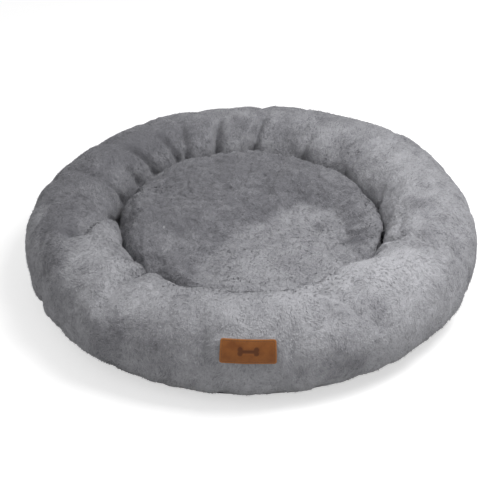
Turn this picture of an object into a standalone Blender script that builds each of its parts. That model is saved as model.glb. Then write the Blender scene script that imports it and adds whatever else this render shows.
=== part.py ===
"""Round donut bed for a cat or a small dog: a stuffed plush ring sewn to a non-slip base,
with a loose round cushion in its well, a leather tag in front and a zip behind.
Metres, +Z up, the tag towards -Y, the floor at Z = 0."""

from math import atan2, cos, hypot, pi, radians, sin

import bmesh
import bpy
from mathutils import Matrix, Vector

# ---- driving dimensions ----
BED_RADIUS = 0.300
RING_WIDTH = 0.122
RING_HEIGHT = 0.124
PLUSH = 0.0030            # backing cloth and combed pile together
FILL_EASE = 0.0016        # room between a cover and the fibre in it
GAP = 0.0003              # between faces that touch
SEAT_GAP = 0.0008         # round a piece that lifts out or slides

BASE_CLOTH = 0.0012
WADDING = 0.0060
FLOOR_CLOTH = 0.0014
TAPE_WIDTH = 0.0120       # binding tape inside the ring's two base seams
TAPE_CLOTH = 0.0008

CUSHION_RIM_HEIGHT = 0.0880
CUSHION_DISH = 0.0220     # how far its middle sinks below the rim
CUSHION_TOP_ROUND = 0.0360
CUSHION_FOOT_ROUND = 0.0300
CUSHION_SEAM_SHARE = 0.48 # height of its seam, as a share of the rim's height
CUSHION_COVER = 0.0026
PIPING_RADIUS = 0.0017

TAG_WIDTH = 0.0660
TAG_HEIGHT = 0.0290
TAG_LEATHER = 0.0018
TAG_CORNER = 0.0030
TAG_LEAN = radians(24.0)  # where it sits on the ring's section, above the outermost line
STITCH_INSET = 0.0024
THREAD = 0.0006

ZIP_HALF_ARC = radians(41.0)
ZIP_LEAN = radians(-30.0)
ZIP_TAPE = 0.0115
ZIP_TAPE_CLOTH = 0.0007
ZIP_TAPE_END = radians(2.6)    # how far the tapes run past the coils
ZIP_WINDOW_END = radians(3.0)  # and the opening in the plush
ZIP_SPLIT = 0.0009        # half the space between the two coils
COIL_WIDTH = 0.0020
COIL_HEIGHT = 0.0015
SLIDER_LENGTH = 0.0100
SLIDER_WIDTH = 0.0084
SLIDER_PLATE = 0.0010
SLIDER_CORNER = 0.0022
SLIDER_POST = 0.0060
BRIDGE_LENGTH = 0.0072
BRIDGE_HEIGHT = 0.0026
BRIDGE_WIDTH = 0.0014
BRIDGE_STRAP = 0.0008
STOP_LENGTH = 0.0022
STOP_CORNER = 0.0004
PULL_LENGTH = 0.0210
PULL_WIDTH = 0.0062
PULL_METAL = 0.0010
PULL_CORNER = 0.0016

LABEL_WIDTH = 0.0320
LABEL_HEIGHT = 0.0260
LABEL_CLOTH = 0.0004
LABEL_TURN = radians(36.0)
LABEL_LEAN = radians(-56.0)

RING_STEPS = 48           # facets round the bed
SECTION_STEPS = 20        # facets round the open section of the cover
FILL_STEPS = 16           # facets round the filling
CORNER_STEPS = 4          # facets on each quarter of the cushion's edge
DISH_STEPS = 3
ZIP_STATIONS = 24         # bends along the zip

# ---- what follows from them ----
BASE_TOP = BASE_CLOTH
RING_MIDDLE = BED_RADIUS - RING_WIDTH / 2
RING_CENTRE_Z = BASE_TOP + GAP + RING_HEIGHT / 2
OUTER_SEAM = radians(-75.0)
INNER_SEAM = radians(250.0)
REAR = radians(90.0)
FRONT = radians(-90.0)


# ---- the ring's section, and places on it ----
def power(value, exponent):
    return abs(value) ** exponent * (1 if value >= 0 else -1)


def section(angle, inset=0.0):
    """Radius and height on the ring's section; 0 is outermost, a quarter turn is the top.
    The lower half is squarer, as the stuffed ring flattens on the floor."""
    exponent = 2 / 2.15 if sin(angle) >= 0 else 2 / 2.9
    return (RING_MIDDLE + (RING_WIDTH / 2 - inset) * power(cos(angle), exponent),
            RING_CENTRE_Z + (RING_HEIGHT / 2 - inset) * power(sin(angle), exponent))


def slope(angle):
    """Angle of the outward normal above the floor, at this angle of the section."""
    step = radians(0.4)
    r0, z0 = section(angle - step)
    r1, z1 = section(angle + step)
    return atan2(-(r1 - r0), z1 - z0)


def climb(angle, length):
    """Angle of the section reached by going this far along the cloth, upwards if positive."""
    step = radians(0.1) * (1 if length >= 0 else -1)
    walked = 0.0
    r0, z0 = section(angle)
    while walked < abs(length):
        r1, z1 = section(angle + step)
        stretch = hypot(r1 - r0, z1 - z0)
        part = min(1.0, (abs(length) - walked) / stretch)
        angle += step * part
        walked += stretch
        r0, z0 = r1, z1
    return angle


def on_ring(turn, angle, out):
    """Point at this turn about Z and this angle of the section, raised along the normal."""
    r, z = section(angle)
    lean = slope(angle)
    r += out * cos(lean)
    return Vector((r * cos(turn), r * sin(turn), z + out * sin(lean)))


# ---- making objects ----
def clear_scene():
    for thing in list(bpy.data.objects):
        bpy.data.objects.remove(thing, do_unlink=True)


def material(name, colour, roughness, metallic=0.0):
    made = bpy.data.materials.new(name)
    made.use_nodes = True
    shader = made.node_tree.nodes["Principled BSDF"]
    shader.inputs["Base Color"].default_value = (*colour, 1.0)
    shader.inputs["Roughness"].default_value = roughness
    shader.inputs["Metallic"].default_value = metallic
    made.diffuse_color = (*colour, 1.0)
    return made


def put(name, bm, made_of, smooth=True):
    mesh = bpy.data.meshes.new(name)
    bm.to_mesh(mesh)
    bm.free()
    if smooth:
        mesh.shade_smooth()
        mesh.set_sharp_from_angle(angle=radians(40))
    mesh.materials.append(made_of)
    piece = bpy.data.objects.new(name, mesh)
    bpy.context.collection.objects.link(piece)
    return piece


def turned(profile, closed=True):
    """Spins an (r, z) profile about Z; an open one starts and ends on the axis."""
    bm = bmesh.new()
    points = [bm.verts.new((r, 0.0, z)) for r, z in profile]
    for first, second in zip(points, points[1:]):
        bm.edges.new((first, second))
    if closed:
        bm.edges.new((points[-1], points[0]))
    bmesh.ops.spin(bm, geom=bm.verts[:] + bm.edges[:], cent=(0, 0, 0), axis=(0, 0, 1),
                   angle=2 * pi, steps=RING_STEPS, use_merge=True)
    bmesh.ops.remove_doubles(bm, verts=bm.verts, dist=1e-6)
    bmesh.ops.recalc_face_normals(bm, faces=bm.faces)
    return bm


def block(x, y, z, corner=0.0, segments=3):
    """Box from (low, high) pairs, its four upright edges rounded by corner."""
    bm = bmesh.new()
    bmesh.ops.create_cube(bm, size=1.0)
    for vert in bm.verts:
        for axis, (low, high) in enumerate((x, y, z)):
            vert.co[axis] = low if vert.co[axis] < 0 else high
    if corner:
        upright = [e for e in bm.edges if abs(e.verts[0].co.z - e.verts[1].co.z) > 1e-9]
        bmesh.ops.bevel(bm, geom=upright, offset=corner, affect="EDGES", segments=segments,
                        profile=0.5, material=-1)
    return bm


def wrapped(bm, turn, angle, stations_x, stations_y):
    """Bends a flat piece round the ring: its X runs along the ring, Y up the section, Z out."""
    low = [min(v.co[i] for v in bm.verts) for i in range(2)]
    high = [max(v.co[i] for v in bm.verts) for i in range(2)]
    for axis, count in ((0, stations_x), (1, stations_y)):
        for k in range(1, count):
            place = Vector((0, 0, 0))
            place[axis] = low[axis] + (high[axis] - low[axis]) * k / count
            normal = Vector((axis == 0, axis == 1, 0))
            bmesh.ops.bisect_plane(bm, geom=bm.verts[:] + bm.edges[:] + bm.faces[:],
                                   dist=1e-7, plane_co=place, plane_no=normal)
    around = section(angle)[0]
    for vert in bm.verts:
        x, y, z = vert.co
        vert.co = on_ring(turn + x / around, climb(angle, y), z)
    return bm


def joined(first, second):
    """Adds a Boolean union of a helper to a piece."""
    modifier(first, second, "UNION")


def cut(piece, cutter):
    modifier(piece, cutter, "DIFFERENCE")


def modifier(piece, helper, operation):
    helper.hide_render = True
    helper.display_type = "WIRE"
    added = piece.modifiers.new(operation.lower() + "_" + helper.name, "BOOLEAN")
    added.operation = operation
    added.solver = "EXACT"
    added.object = helper


# ---- base ----
def base():
    seam_r, _ = section(OUTER_SEAM)
    cloth = material("nonslip_cloth", (0.10, 0.10, 0.11), 0.85)
    wadding = material("wadding", (0.82, 0.82, 0.80), 0.95)
    lining = material("lining", (0.30, 0.30, 0.32), 0.90)
    tape = material("seam_tape", (0.22, 0.22, 0.24), 0.85)

    put("base_panel", turned(disc(seam_r - GAP, 0.0, BASE_CLOTH), closed=False), cloth)

    wadding_z = BASE_TOP + GAP
    floor_z = wadding_z + WADDING + GAP
    put("base_wadding",
        turned(disc(well_floor_radius() - GAP, wadding_z, WADDING), closed=False), wadding)
    put("well_floor",
        turned(disc(well_floor_radius(), floor_z, FLOOR_CLOTH), closed=False), lining)

    outer_end, _ = section(OUTER_SEAM, PLUSH)
    inner_end, _ = section(INNER_SEAM, PLUSH)
    tape_z = BASE_TOP + GAP
    for name, r in (("outer_seam_tape", outer_end - GAP - TAPE_WIDTH),
                    ("inner_seam_tape", inner_end + GAP)):
        put(name, turned(ring_strip(r, r + TAPE_WIDTH, tape_z, TAPE_CLOTH)), tape)


def disc(radius, z, thickness):
    return [(0.0, z), (radius, z), (radius, z + thickness), (0.0, z + thickness)]


def ring_strip(r0, r1, z, thickness):
    return [(r0, z), (r1, z), (r1, z + thickness), (r0, z + thickness)]


def floor_top():
    return BASE_TOP + GAP + WADDING + GAP + FLOOR_CLOTH


def well_floor_radius():
    """Where the ring's inner wall stands at the height of the well's floor."""
    angle = INNER_SEAM
    while section(angle)[1] < floor_top() + SEAT_GAP:
        angle -= radians(0.25)
    return section(angle)[0] - SEAT_GAP


# ---- stuffed ring ----
def section_run(start, end, inset, steps):
    return [section(start + (end - start) * k / steps, inset) for k in range(steps + 1)]


def ring():
    plush = material("plush", (0.42, 0.42, 0.45), 0.95)
    fibre = material("fibre", (0.88, 0.88, 0.87), 1.0)
    outside = section_run(OUTER_SEAM, INNER_SEAM, 0.0, SECTION_STEPS)
    inside = section_run(INNER_SEAM, OUTER_SEAM, PLUSH, SECTION_STEPS)
    cover = put("bolster_cover", turned(outside + inside), plush)

    # the window in which the zip's tapes are sewn
    half_height = ZIP_SPLIT + ZIP_TAPE + GAP
    half_length = (ZIP_HALF_ARC + ZIP_WINDOW_END) * section(ZIP_LEAN)[0]
    window = block((-half_length, half_length), (-half_height, half_height),
                   (-2 * PLUSH, 2 * PLUSH))
    cut(cover, put("zip_window", wrapped(window, REAR, ZIP_LEAN, ZIP_STATIONS, 3), plush, smooth=False))

    inset = PLUSH + FILL_EASE
    filling = section_run(0.0, 2 * pi, inset, FILL_STEPS)[:-1]
    put("bolster_filling", turned(filling), fibre)


# ---- loose cushion ----
def cushion_profile(inset):
    """Outer line of the cushion from the bottom's middle to the top's middle."""
    bottom = floor_top() + GAP
    widest = RING_MIDDLE - RING_WIDTH / 2 - SEAT_GAP
    flat = widest - CUSHION_FOOT_ROUND
    middle_z = bottom + CUSHION_RIM_HEIGHT * CUSHION_SEAM_SHARE
    rim_r = widest - CUSHION_TOP_ROUND
    rim_z = bottom + CUSHION_RIM_HEIGHT
    under = [(0.0, bottom + inset), (flat / 2, bottom + inset)]
    under += quarter(flat, middle_z, widest - flat - inset, middle_z - bottom - inset, -90, 0)
    over = quarter(rim_r, middle_z, widest - rim_r - inset, rim_z - middle_z - inset, 0, 90)
    dish = [(rim_r * (1 - k / DISH_STEPS),
             rim_z - inset - CUSHION_DISH * (1 - cos(pi * k / DISH_STEPS)) / 2)
            for k in range(1, DISH_STEPS + 1)]
    return under, over, dish, middle_z


def quarter(r, z, width, height, start, end):
    angles = [radians(start + (end - start) * k / CORNER_STEPS) for k in range(CORNER_STEPS + 1)]
    return [(r + width * cos(a), z + height * sin(a)) for a in angles]


def trimmed(run, z, below):
    """The points of a run on one side of a height."""
    return [(r, h) for r, h in run if (h < z if below else h > z)]


def cushion():
    plush = material("cushion_plush", (0.42, 0.42, 0.45), 0.95)
    cloth = material("cushion_back_cloth", (0.34, 0.34, 0.36), 0.9)
    fibre = material("cushion_fibre", (0.88, 0.88, 0.87), 1.0)
    cord = material("piping_cloth", (0.36, 0.36, 0.39), 0.9)

    under, over, dish, seam_z = cushion_profile(0.0)
    under_in, over_in, dish_in, _ = cushion_profile(CUSHION_COVER)
    seam_r = RING_MIDDLE - RING_WIDTH / 2 - SEAT_GAP
    lip = PIPING_RADIUS + GAP
    edge_low = [(seam_r, seam_z - lip), (seam_r - CUSHION_COVER, seam_z - lip)]
    edge_high = [(seam_r - CUSHION_COVER, seam_z + lip), (seam_r, seam_z + lip)]

    bottom = (trimmed(under, seam_z - lip - GAP, True) + edge_low
              + trimmed(under_in, seam_z - lip - GAP, True)[::-1])
    put("cushion_bottom_cover", turned(bottom, closed=False), cloth)
    top = (trimmed(over_in + dish_in, seam_z + lip + GAP, False)[::-1] + edge_high
           + trimmed(over, seam_z + lip + GAP, False) + dish)
    put("cushion_top_cover", turned(top, closed=False), plush)

    under_fill, over_fill, dish_fill, _ = cushion_profile(CUSHION_COVER + FILL_EASE)
    fill = under_fill + over_fill[1:] + dish_fill
    put("cushion_filling", turned(fill, closed=False), fibre)

    piping_r = seam_r - PIPING_RADIUS
    round_line = [(piping_r + PIPING_RADIUS * cos(k * pi / 3), seam_z + PIPING_RADIUS * sin(k * pi / 3))
                  for k in range(6)]
    put("cushion_piping", turned(round_line), cord)


# ---- leather tag ----
def tag():
    leather = material("tan_leather", (0.24, 0.09, 0.03), 0.5)
    thread = material("tag_thread", (0.16, 0.07, 0.03), 0.7)
    half_w, half_h = TAG_WIDTH / 2, TAG_HEIGHT / 2
    plate = block((-half_w, half_w), (-half_h, half_h), (GAP, GAP + TAG_LEATHER), TAG_CORNER)
    put("leather_tag", wrapped(plate, FRONT, TAG_LEAN, 6, 5), leather)

    thread_z = (GAP + TAG_LEATHER + GAP, GAP + TAG_LEATHER + GAP + THREAD)
    loop = thread_loop(half_w - STITCH_INSET, half_h - STITCH_INSET, thread_z)
    put("tag_stitching", wrapped(loop, FRONT, TAG_LEAN, 6, 5), thread)


def thread_loop(half_w, half_h, z):
    """A closed rectangular run of thread: a flat frame one thread wide."""
    bm = block((-half_w, half_w), (-half_h, half_h), z)
    bm.faces.ensure_lookup_table()
    caps = [f for f in bm.faces if abs(f.normal.z) > 0.9]
    bmesh.ops.inset_individual(bm, faces=caps, thickness=THREAD, use_even_offset=True)
    bmesh.ops.bridge_loops(bm, edges=[e for f in caps for e in f.edges])
    bmesh.ops.delete(bm, geom=caps, context="FACES")
    bmesh.ops.recalc_face_normals(bm, faces=bm.faces)
    return bm


# ---- zip in the back ----
TAPE_OUT = (-PLUSH + GAP, -PLUSH + GAP + ZIP_TAPE_CLOTH)
COIL_OUT = (TAPE_OUT[1] + GAP, TAPE_OUT[1] + GAP + COIL_HEIGHT)
PLATE_OUT = (COIL_OUT[1] + 2 * GAP, COIL_OUT[1] + 2 * GAP + SLIDER_PLATE)
ZIP_RADIUS = section(ZIP_LEAN)[0]
STOP_ARC = (STOP_LENGTH / 2 + GAP) / ZIP_RADIUS
SINK = 0.0002             # how far the slider's parts run into each other
SLIDER_ARC = ZIP_HALF_ARC - (SLIDER_LENGTH / 2 + SEAT_GAP) / ZIP_RADIUS


def zip_tapes():
    tape = material("zip_tape", (0.13, 0.13, 0.14), 0.85)
    coil = material("zip_coil", (0.10, 0.10, 0.11), 0.45)
    coil_half = ZIP_HALF_ARC * ZIP_RADIUS
    tape_half = (ZIP_HALF_ARC + ZIP_TAPE_END) * ZIP_RADIUS
    for name, side in (("upper", 1), ("lower", -1)):
        near, far = side * ZIP_SPLIT, side * (ZIP_SPLIT + ZIP_TAPE)
        strip = block((-tape_half, tape_half), sorted((near, far)), TAPE_OUT)
        put("zip_tape_" + name, wrapped(strip, REAR, ZIP_LEAN, ZIP_STATIONS, 2), tape)
        far = side * (ZIP_SPLIT + COIL_WIDTH)
        strip = block((-coil_half, coil_half), sorted((near, far)), COIL_OUT)
        put("zip_coil_" + name, wrapped(strip, REAR, ZIP_LEAN, ZIP_STATIONS, 1), coil)


def zip_metal():
    metal = material("zip_metal", (0.42, 0.42, 0.43), 0.35, 1.0)
    half_stop = STOP_LENGTH / 2
    for name, side in (("left", 1), ("right", -1)):
        turn = REAR + side * (ZIP_HALF_ARC + STOP_ARC)
        wide = ZIP_SPLIT + COIL_WIDTH
        stop = block((-half_stop, half_stop), (-wide, wide), COIL_OUT, STOP_CORNER, 2)
        put("zip_stop_" + name, wrapped(stop, turn, ZIP_LEAN, 1, 1), metal)

    turn = REAR - SLIDER_ARC
    half_l, half_w = SLIDER_LENGTH / 2, SLIDER_WIDTH / 2
    back_out = (TAPE_OUT[0] - GAP - SLIDER_PLATE, TAPE_OUT[0] - GAP)
    post = ZIP_SPLIT - 1.5 * GAP
    slider = put("zip_slider", wrapped(
        block((-half_l, half_l), (-half_w, half_w), PLATE_OUT, SLIDER_CORNER, 4),
        turn, ZIP_LEAN, 2, 2), metal)
    helpers = (
        ("slider_back", block((-half_l, half_l), (-half_w, half_w), back_out, SLIDER_CORNER, 4)),
        ("slider_post", block((-SLIDER_POST / 2, SLIDER_POST / 2), (-post, post),
                              (back_out[1] - SINK, PLATE_OUT[0] + SINK))),
        ("slider_bridge", bridge(PLATE_OUT[1] - SINK)),
    )
    for name, bm in helpers:
        joined(slider, put(name, wrapped(bm, turn, ZIP_LEAN, 1, 1), metal))

    half_pull = PULL_WIDTH / 2
    bar = PULL_METAL / 2
    pull = put("zip_pull", block((-bar, PULL_LENGTH), (-half_pull, half_pull), (-bar, bar),
                                 PULL_CORNER, 4), metal)
    slot_half = BRIDGE_WIDTH / 2 + 2 * GAP
    slot = put("pull_slot", block((bar, bar + BRIDGE_HEIGHT + 3 * GAP),
                                  (-slot_half, slot_half), (-1.5 * bar, 1.5 * bar)), metal)
    slot.parent = pull
    cut(pull, slot)
    pull.matrix_world = pull_place(turn)


def bridge(z):
    """The strap over the slider under which the pull's loop passes."""
    reach = BRIDGE_LENGTH / 2
    bm = block((-reach, reach), (-BRIDGE_WIDTH / 2, BRIDGE_WIDTH / 2), (z, z + BRIDGE_HEIGHT))
    sides = [f for f in bm.faces if abs(f.normal.y) > 0.9]
    bmesh.ops.inset_individual(bm, faces=sides, thickness=BRIDGE_STRAP, use_even_offset=True)
    low = z + BRIDGE_STRAP
    for vert in {v for f in sides for v in f.verts}:
        if vert.co.z < low + 1e-6:
            vert.co.z = z + SINK
    bmesh.ops.bridge_loops(bm, edges=[e for f in sides for e in f.edges])
    bmesh.ops.delete(bm, geom=sides, context="FACES")
    bmesh.ops.recalc_face_normals(bm, faces=bm.faces)
    return bm


def pull_place(turn):
    """Frame of the pull: X along the zip, Y up the ring's section, Z outwards."""
    lean = slope(ZIP_LEAN)
    radial = Vector((cos(turn), sin(turn), 0))
    out = radial * cos(lean) + Vector((0, 0, sin(lean)))
    along = Vector((-sin(turn), cos(turn), 0))
    up = out.cross(along)
    pivot = on_ring(turn, ZIP_LEAN, PLATE_OUT[1] + PULL_METAL / 2 + 1.5 * GAP)
    frame = Matrix((along, up, out)).transposed().to_4x4()
    frame.translation = pivot
    return frame


# ---- blank label in the rear seam ----
def label():
    satin = material("label_satin", (0.80, 0.80, 0.78), 0.5)
    half_w, half_h = LABEL_WIDTH / 2, LABEL_HEIGHT / 2
    plate = block((-half_w, half_w), (-half_h, half_h), (GAP, GAP + LABEL_CLOTH))
    put("care_label", wrapped(plate, LABEL_TURN, LABEL_LEAN, 4, 5), satin)


clear_scene()
base()
ring()
cushion()
tag()
zip_tapes()
zip_metal()
label()
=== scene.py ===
from math import atan2, cos, exp, hypot, pi, radians, sin

import bmesh
import bpy
from mathutils import Matrix, Vector, noise


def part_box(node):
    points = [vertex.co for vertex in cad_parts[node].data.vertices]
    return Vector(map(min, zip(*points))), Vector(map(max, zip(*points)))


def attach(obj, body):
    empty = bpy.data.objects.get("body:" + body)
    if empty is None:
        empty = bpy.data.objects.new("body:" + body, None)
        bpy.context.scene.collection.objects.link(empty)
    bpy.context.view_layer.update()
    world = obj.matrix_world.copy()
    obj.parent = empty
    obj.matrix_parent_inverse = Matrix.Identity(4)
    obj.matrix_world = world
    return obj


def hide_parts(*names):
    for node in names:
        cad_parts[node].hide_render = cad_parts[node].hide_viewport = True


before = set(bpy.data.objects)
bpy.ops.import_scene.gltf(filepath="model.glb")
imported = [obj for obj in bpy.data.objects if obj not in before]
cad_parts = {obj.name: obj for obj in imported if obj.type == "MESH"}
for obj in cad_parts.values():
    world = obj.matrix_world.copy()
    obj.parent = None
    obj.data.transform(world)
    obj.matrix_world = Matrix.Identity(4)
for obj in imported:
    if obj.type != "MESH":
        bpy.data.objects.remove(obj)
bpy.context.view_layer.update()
scene = bpy.context.scene


# ---- studio ----
# The bed stands on a pale paper floor, in front of the camera and a little below it. A large soft
# lamp stands close on the right, a weak one on the left, and the surround is pale all round.
CAMERA_DISTANCE = 2.0
CAMERA_RISE = radians(33.4)
CAMERA_TURN = radians(0.9)
CAMERA_ROLL = radians(0.83)
CAMERA_LENS = 106.9
LOOK_AT = Vector((-0.0008, 0.0, 0.0374))
FLOOR_SIZE = 30.0
PAPER_GLOW = 0.56
SURROUND = 0.40
BACKDROP = 0.86           # what the camera sees past the paper: as light as the far paper
# Each lamp: its place, its size and its power.
RIGHT_LAMP = (Vector((0.50, -0.16, 1.08)), 0.60, 10.4)
LEFT_LAMP = (Vector((-0.70, -0.90, 1.30)), 0.90, 2.5)


def node(tree, kind, sockets=None, **settings):
    """Adds one node. Its sockets take values or the outputs of other nodes."""
    made = tree.nodes.new(kind)
    for name, value in settings.items():
        setattr(made, name, value)
    for name, value in (sockets or {}).items():
        if isinstance(value, bpy.types.NodeSocket):
            tree.links.new(value, made.inputs[name])
        else:
            made.inputs[name].default_value = value
    return made


def step(tree, kind, sockets=None, **settings):
    """Adds one shader node."""
    return node(tree, "ShaderNode" + kind, sockets, **settings)


def finish_of(name):
    """A new material, its node tree and its Principled shader."""
    made = bpy.data.materials.new(name)
    made.use_nodes = True
    return made, made.node_tree, made.node_tree.nodes["Principled BSDF"]


def camera():
    """The camera, which looks down on the bed from in front."""
    back = Vector((sin(CAMERA_TURN) * cos(CAMERA_RISE), -cos(CAMERA_TURN) * cos(CAMERA_RISE),
                   sin(CAMERA_RISE)))
    data = bpy.data.cameras.new("camera")
    data.lens = CAMERA_LENS
    made = bpy.data.objects.new("camera", data)
    scene.collection.objects.link(made)
    made.location = LOOK_AT + back * CAMERA_DISTANCE
    turn = (-back).to_track_quat("-Z", "Y").to_matrix() @ Matrix.Rotation(-CAMERA_ROLL, 3, "Z")
    made.rotation_euler = turn.to_euler()
    return made


def lamp(name, place, size, power):
    """A square soft lamp, turned to the bed."""
    data = bpy.data.lights.new(name, "AREA")
    data.shape = "SQUARE"
    data.size = size
    data.energy = power
    made = bpy.data.objects.new(name, data)
    scene.collection.objects.link(made)
    made.location = place
    made.rotation_euler = (LOOK_AT - place).to_track_quat("-Z", "Y").to_euler()


def paper_floor():
    """Matt white paper under the bed, which the camera sees a little lighter than it is lit."""
    bm = bmesh.new()
    bmesh.ops.create_grid(bm, x_segments=1, y_segments=1, size=FLOOR_SIZE / 2)
    mesh = bpy.data.meshes.new("paper_floor")
    bm.to_mesh(mesh)
    bm.free()
    paper, tree, shader = finish_of("paper")
    shader.inputs["Base Color"].default_value = (0.72, 0.72, 0.72, 1.0)
    shader.inputs["Roughness"].default_value = 0.9
    shader.inputs["Specular IOR Level"].default_value = 0.1
    shader.inputs["Emission Color"].default_value = (1.0, 1.0, 1.0, 1.0)
    eye = step(tree, "LightPath")
    glow = step(tree, "Math", {0: eye.outputs["Is Camera Ray"], 1: PAPER_GLOW}, operation="MULTIPLY")
    tree.links.new(glow.outputs[0], shader.inputs["Emission Strength"])
    mesh.materials.append(paper)
    made = bpy.data.objects.new("paper_floor", mesh)
    scene.collection.objects.link(made)


def surround():
    """Even light from all round, and the pale backdrop that the camera sees."""
    world = bpy.data.worlds.new("surround")
    world.use_nodes = True
    tree = world.node_tree
    eye = step(tree, "LightPath")
    soft = tree.nodes["Background"]
    soft.inputs["Color"].default_value = (1.0, 1.0, 1.0, 1.0)
    soft.inputs["Strength"].default_value = SURROUND
    plain = step(tree, "Background", {"Color": (1.0, 1.0, 1.0, 1.0), "Strength": BACKDROP})
    mixed = step(tree, "MixShader", {0: eye.outputs["Is Camera Ray"], 1: soft.outputs[0],
                                     2: plain.outputs[0]})
    tree.links.new(mixed.outputs[0], tree.nodes["World Output"].inputs["Surface"])
    scene.world = world


scene.camera = camera()
lamp("right_lamp", *RIGHT_LAMP)
lamp("left_lamp", *LEFT_LAMP)
paper_floor()
surround()
scene.view_settings.view_transform = "Standard"


# ---- base: the non-slip cloth ----
# A round of dark polyester cloth that closes the bed below. Soft plastic dots are printed on its
# underside, so that the bed doesn't slide.
DOT_PITCH = 0.011
DOT_RADIUS = 0.0014
DOT_HEIGHT = 0.0005
DOT_SIDES = 8
DISC_STEPS = 96
GAP = 0.0003


def put(name, mesh, *materials):
    """A new piece from a mesh and its materials."""
    for made_of in materials:
        mesh.materials.append(made_of)
    piece = bpy.data.objects.new(name, mesh)
    scene.collection.objects.link(piece)
    return piece


def mesh_of(name, bm):
    """A smooth-shaded mesh from a finished bmesh."""
    mesh = bpy.data.meshes.new(name)
    bm.to_mesh(mesh)
    bm.free()
    mesh.shade_smooth()
    return mesh


def turned(bm, steps):
    """Turns the outline drawn so far about Z into a skin."""
    bmesh.ops.spin(bm, geom=bm.verts[:] + bm.edges[:], cent=(0, 0, 0), axis=(0, 0, 1),
                   angle=2 * pi, steps=steps, use_merge=True)
    bmesh.ops.remove_doubles(bm, verts=bm.verts, dist=1e-6)
    bmesh.ops.recalc_face_normals(bm, faces=bm.faces)


def round_cloth(radius, low, high, rings=12):
    """A round of cloth with a turned edge, as a closed body with rings of points to drape."""
    bm = bmesh.new()
    middle = (low + high) / 2
    under = [(radius * k / rings, low) for k in range(rings)]
    over = [(radius * (1 - k / rings), high) for k in range(1, rings + 1)]
    profile = under + [(radius, middle)] + over
    points = [bm.verts.new((r, 0.0, z)) for r, z in profile]
    for first, second in zip(points, points[1:]):
        bm.edges.new((first, second))
    turned(bm, DISC_STEPS)
    return bm


def pattern(tree, kind, sockets, **settings):
    """The strength of a texture, laid over the piece in its own metres."""
    own = step(tree, "TexCoord").outputs["Object"]
    return step(tree, kind, {"Vector": own, **sockets}, **settings).outputs["Fac"]


def ramped(tree, share, low, high):
    """A colour ramp between two colours."""
    ramp = step(tree, "ValToRGB", {"Fac": share})
    ramp.color_ramp.elements[0].color = (*low, 1.0)
    ramp.color_ramp.elements[1].color = (*high, 1.0)
    return ramp


def between(tree, share, low, high):
    """A share from 0 to 1 brought between two limits."""
    return step(tree, "MapRange", {"Value": share, "To Min": low, "To Max": high}).outputs["Result"]


def product(tree, first, second):
    return step(tree, "Math", {0: first, 1: second}, operation="MULTIPLY").outputs[0]


def added(tree, share, weight, total):
    """A total with a share of another pattern added."""
    return step(tree, "Math", {0: share, 1: weight, 2: total}, operation="MULTIPLY_ADD").outputs[0]


def tinted(tree, colour, share):
    """A colour made lighter and darker by a share."""
    return step(tree, "Mix", {"Factor": 1.0, "A": (*colour, 1.0), "B": share},
                data_type="RGBA", blend_type="MULTIPLY").outputs["Result"]


def coloured(tree, shader, colour):
    tree.links.new(colour, shader.inputs["Base Color"])


def roughened(tree, shader, share, low, high):
    """Lets a pattern make the surface more and less matt."""
    tree.links.new(between(tree, share, low, high), shader.inputs["Roughness"])


def embossed(tree, shader, height, strength, depth):
    """Lets a pattern stand out of the surface."""
    bump = step(tree, "Bump", {"Height": height, "Strength": strength, "Distance": depth})
    tree.links.new(bump.outputs["Normal"], shader.inputs["Normal"])


def woven_finish(name, colour, pitch, roughness=0.85):
    """Plain woven cloth: threads over and under each other, a little uneven."""
    made, tree, shader = finish_of(name)
    uneven = pattern(tree, "TexNoise", {"Scale": 60.0, "Detail": 3.0})
    thread = {"Scale": pitch, "Distortion": 0.6, "Detail": 1.0}
    threads = product(tree, pattern(tree, "TexWave", thread, bands_direction="X"),
                      pattern(tree, "TexWave", thread, bands_direction="Y"))
    shade = product(tree, between(tree, threads, 0.65, 1.25), between(tree, uneven, 0.8, 1.2))
    coloured(tree, shader, tinted(tree, colour, shade))
    embossed(tree, shader, threads, 0.5, 0.0003)
    shader.inputs["Roughness"].default_value = roughness
    return made


def rubber_finish(name, colour):
    """Soft printed plastic, dull where it has picked up dust."""
    made, tree, shader = finish_of(name)
    dust = pattern(tree, "TexNoise", {"Scale": 90.0, "Detail": 4.0})
    ramp = ramped(tree, dust, [c * 0.8 for c in colour], [c * 1.5 for c in colour])
    coloured(tree, shader, ramp.outputs["Color"])
    roughened(tree, shader, dust, 0.45, 0.8)
    return made


def grip_dots(radius, low):
    """The printed dots, in rows set half a pitch apart."""
    bm = bmesh.new()
    row_pitch = DOT_PITCH * sin(radians(60))
    rows = int(radius / row_pitch)
    for row in range(-rows, rows + 1):
        shift = DOT_PITCH / 2 * (row % 2)
        count = int(radius / DOT_PITCH)
        for column in range(-count, count + 1):
            x, y = column * DOT_PITCH + shift, row * row_pitch
            if hypot(x, y) < radius:
                place = Matrix.Translation((x, y, low + DOT_HEIGHT / 2))
                bmesh.ops.create_cone(bm, cap_ends=True, segments=DOT_SIDES, matrix=place,
                                      radius1=DOT_RADIUS * 0.75, radius2=DOT_RADIUS,
                                      depth=DOT_HEIGHT)
    return bm


panel_low, panel_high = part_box("base_panel")
panel_radius = panel_high.x
dots = put("grip_dots", mesh_of("grip_dots", grip_dots(panel_radius - DOT_PITCH, panel_low.z)),
           rubber_finish("grip_plastic", (0.035, 0.035, 0.038)))
base_cloth = put("base_cloth", mesh_of("base_cloth", round_cloth(
    panel_radius, panel_low.z + DOT_HEIGHT - 0.0001, panel_high.z)),
    woven_finish("nonslip_cloth", (0.085, 0.085, 0.092), 420.0))
for piece in (dots, base_cloth):
    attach(piece, "bed")
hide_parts("base_panel")


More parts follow.
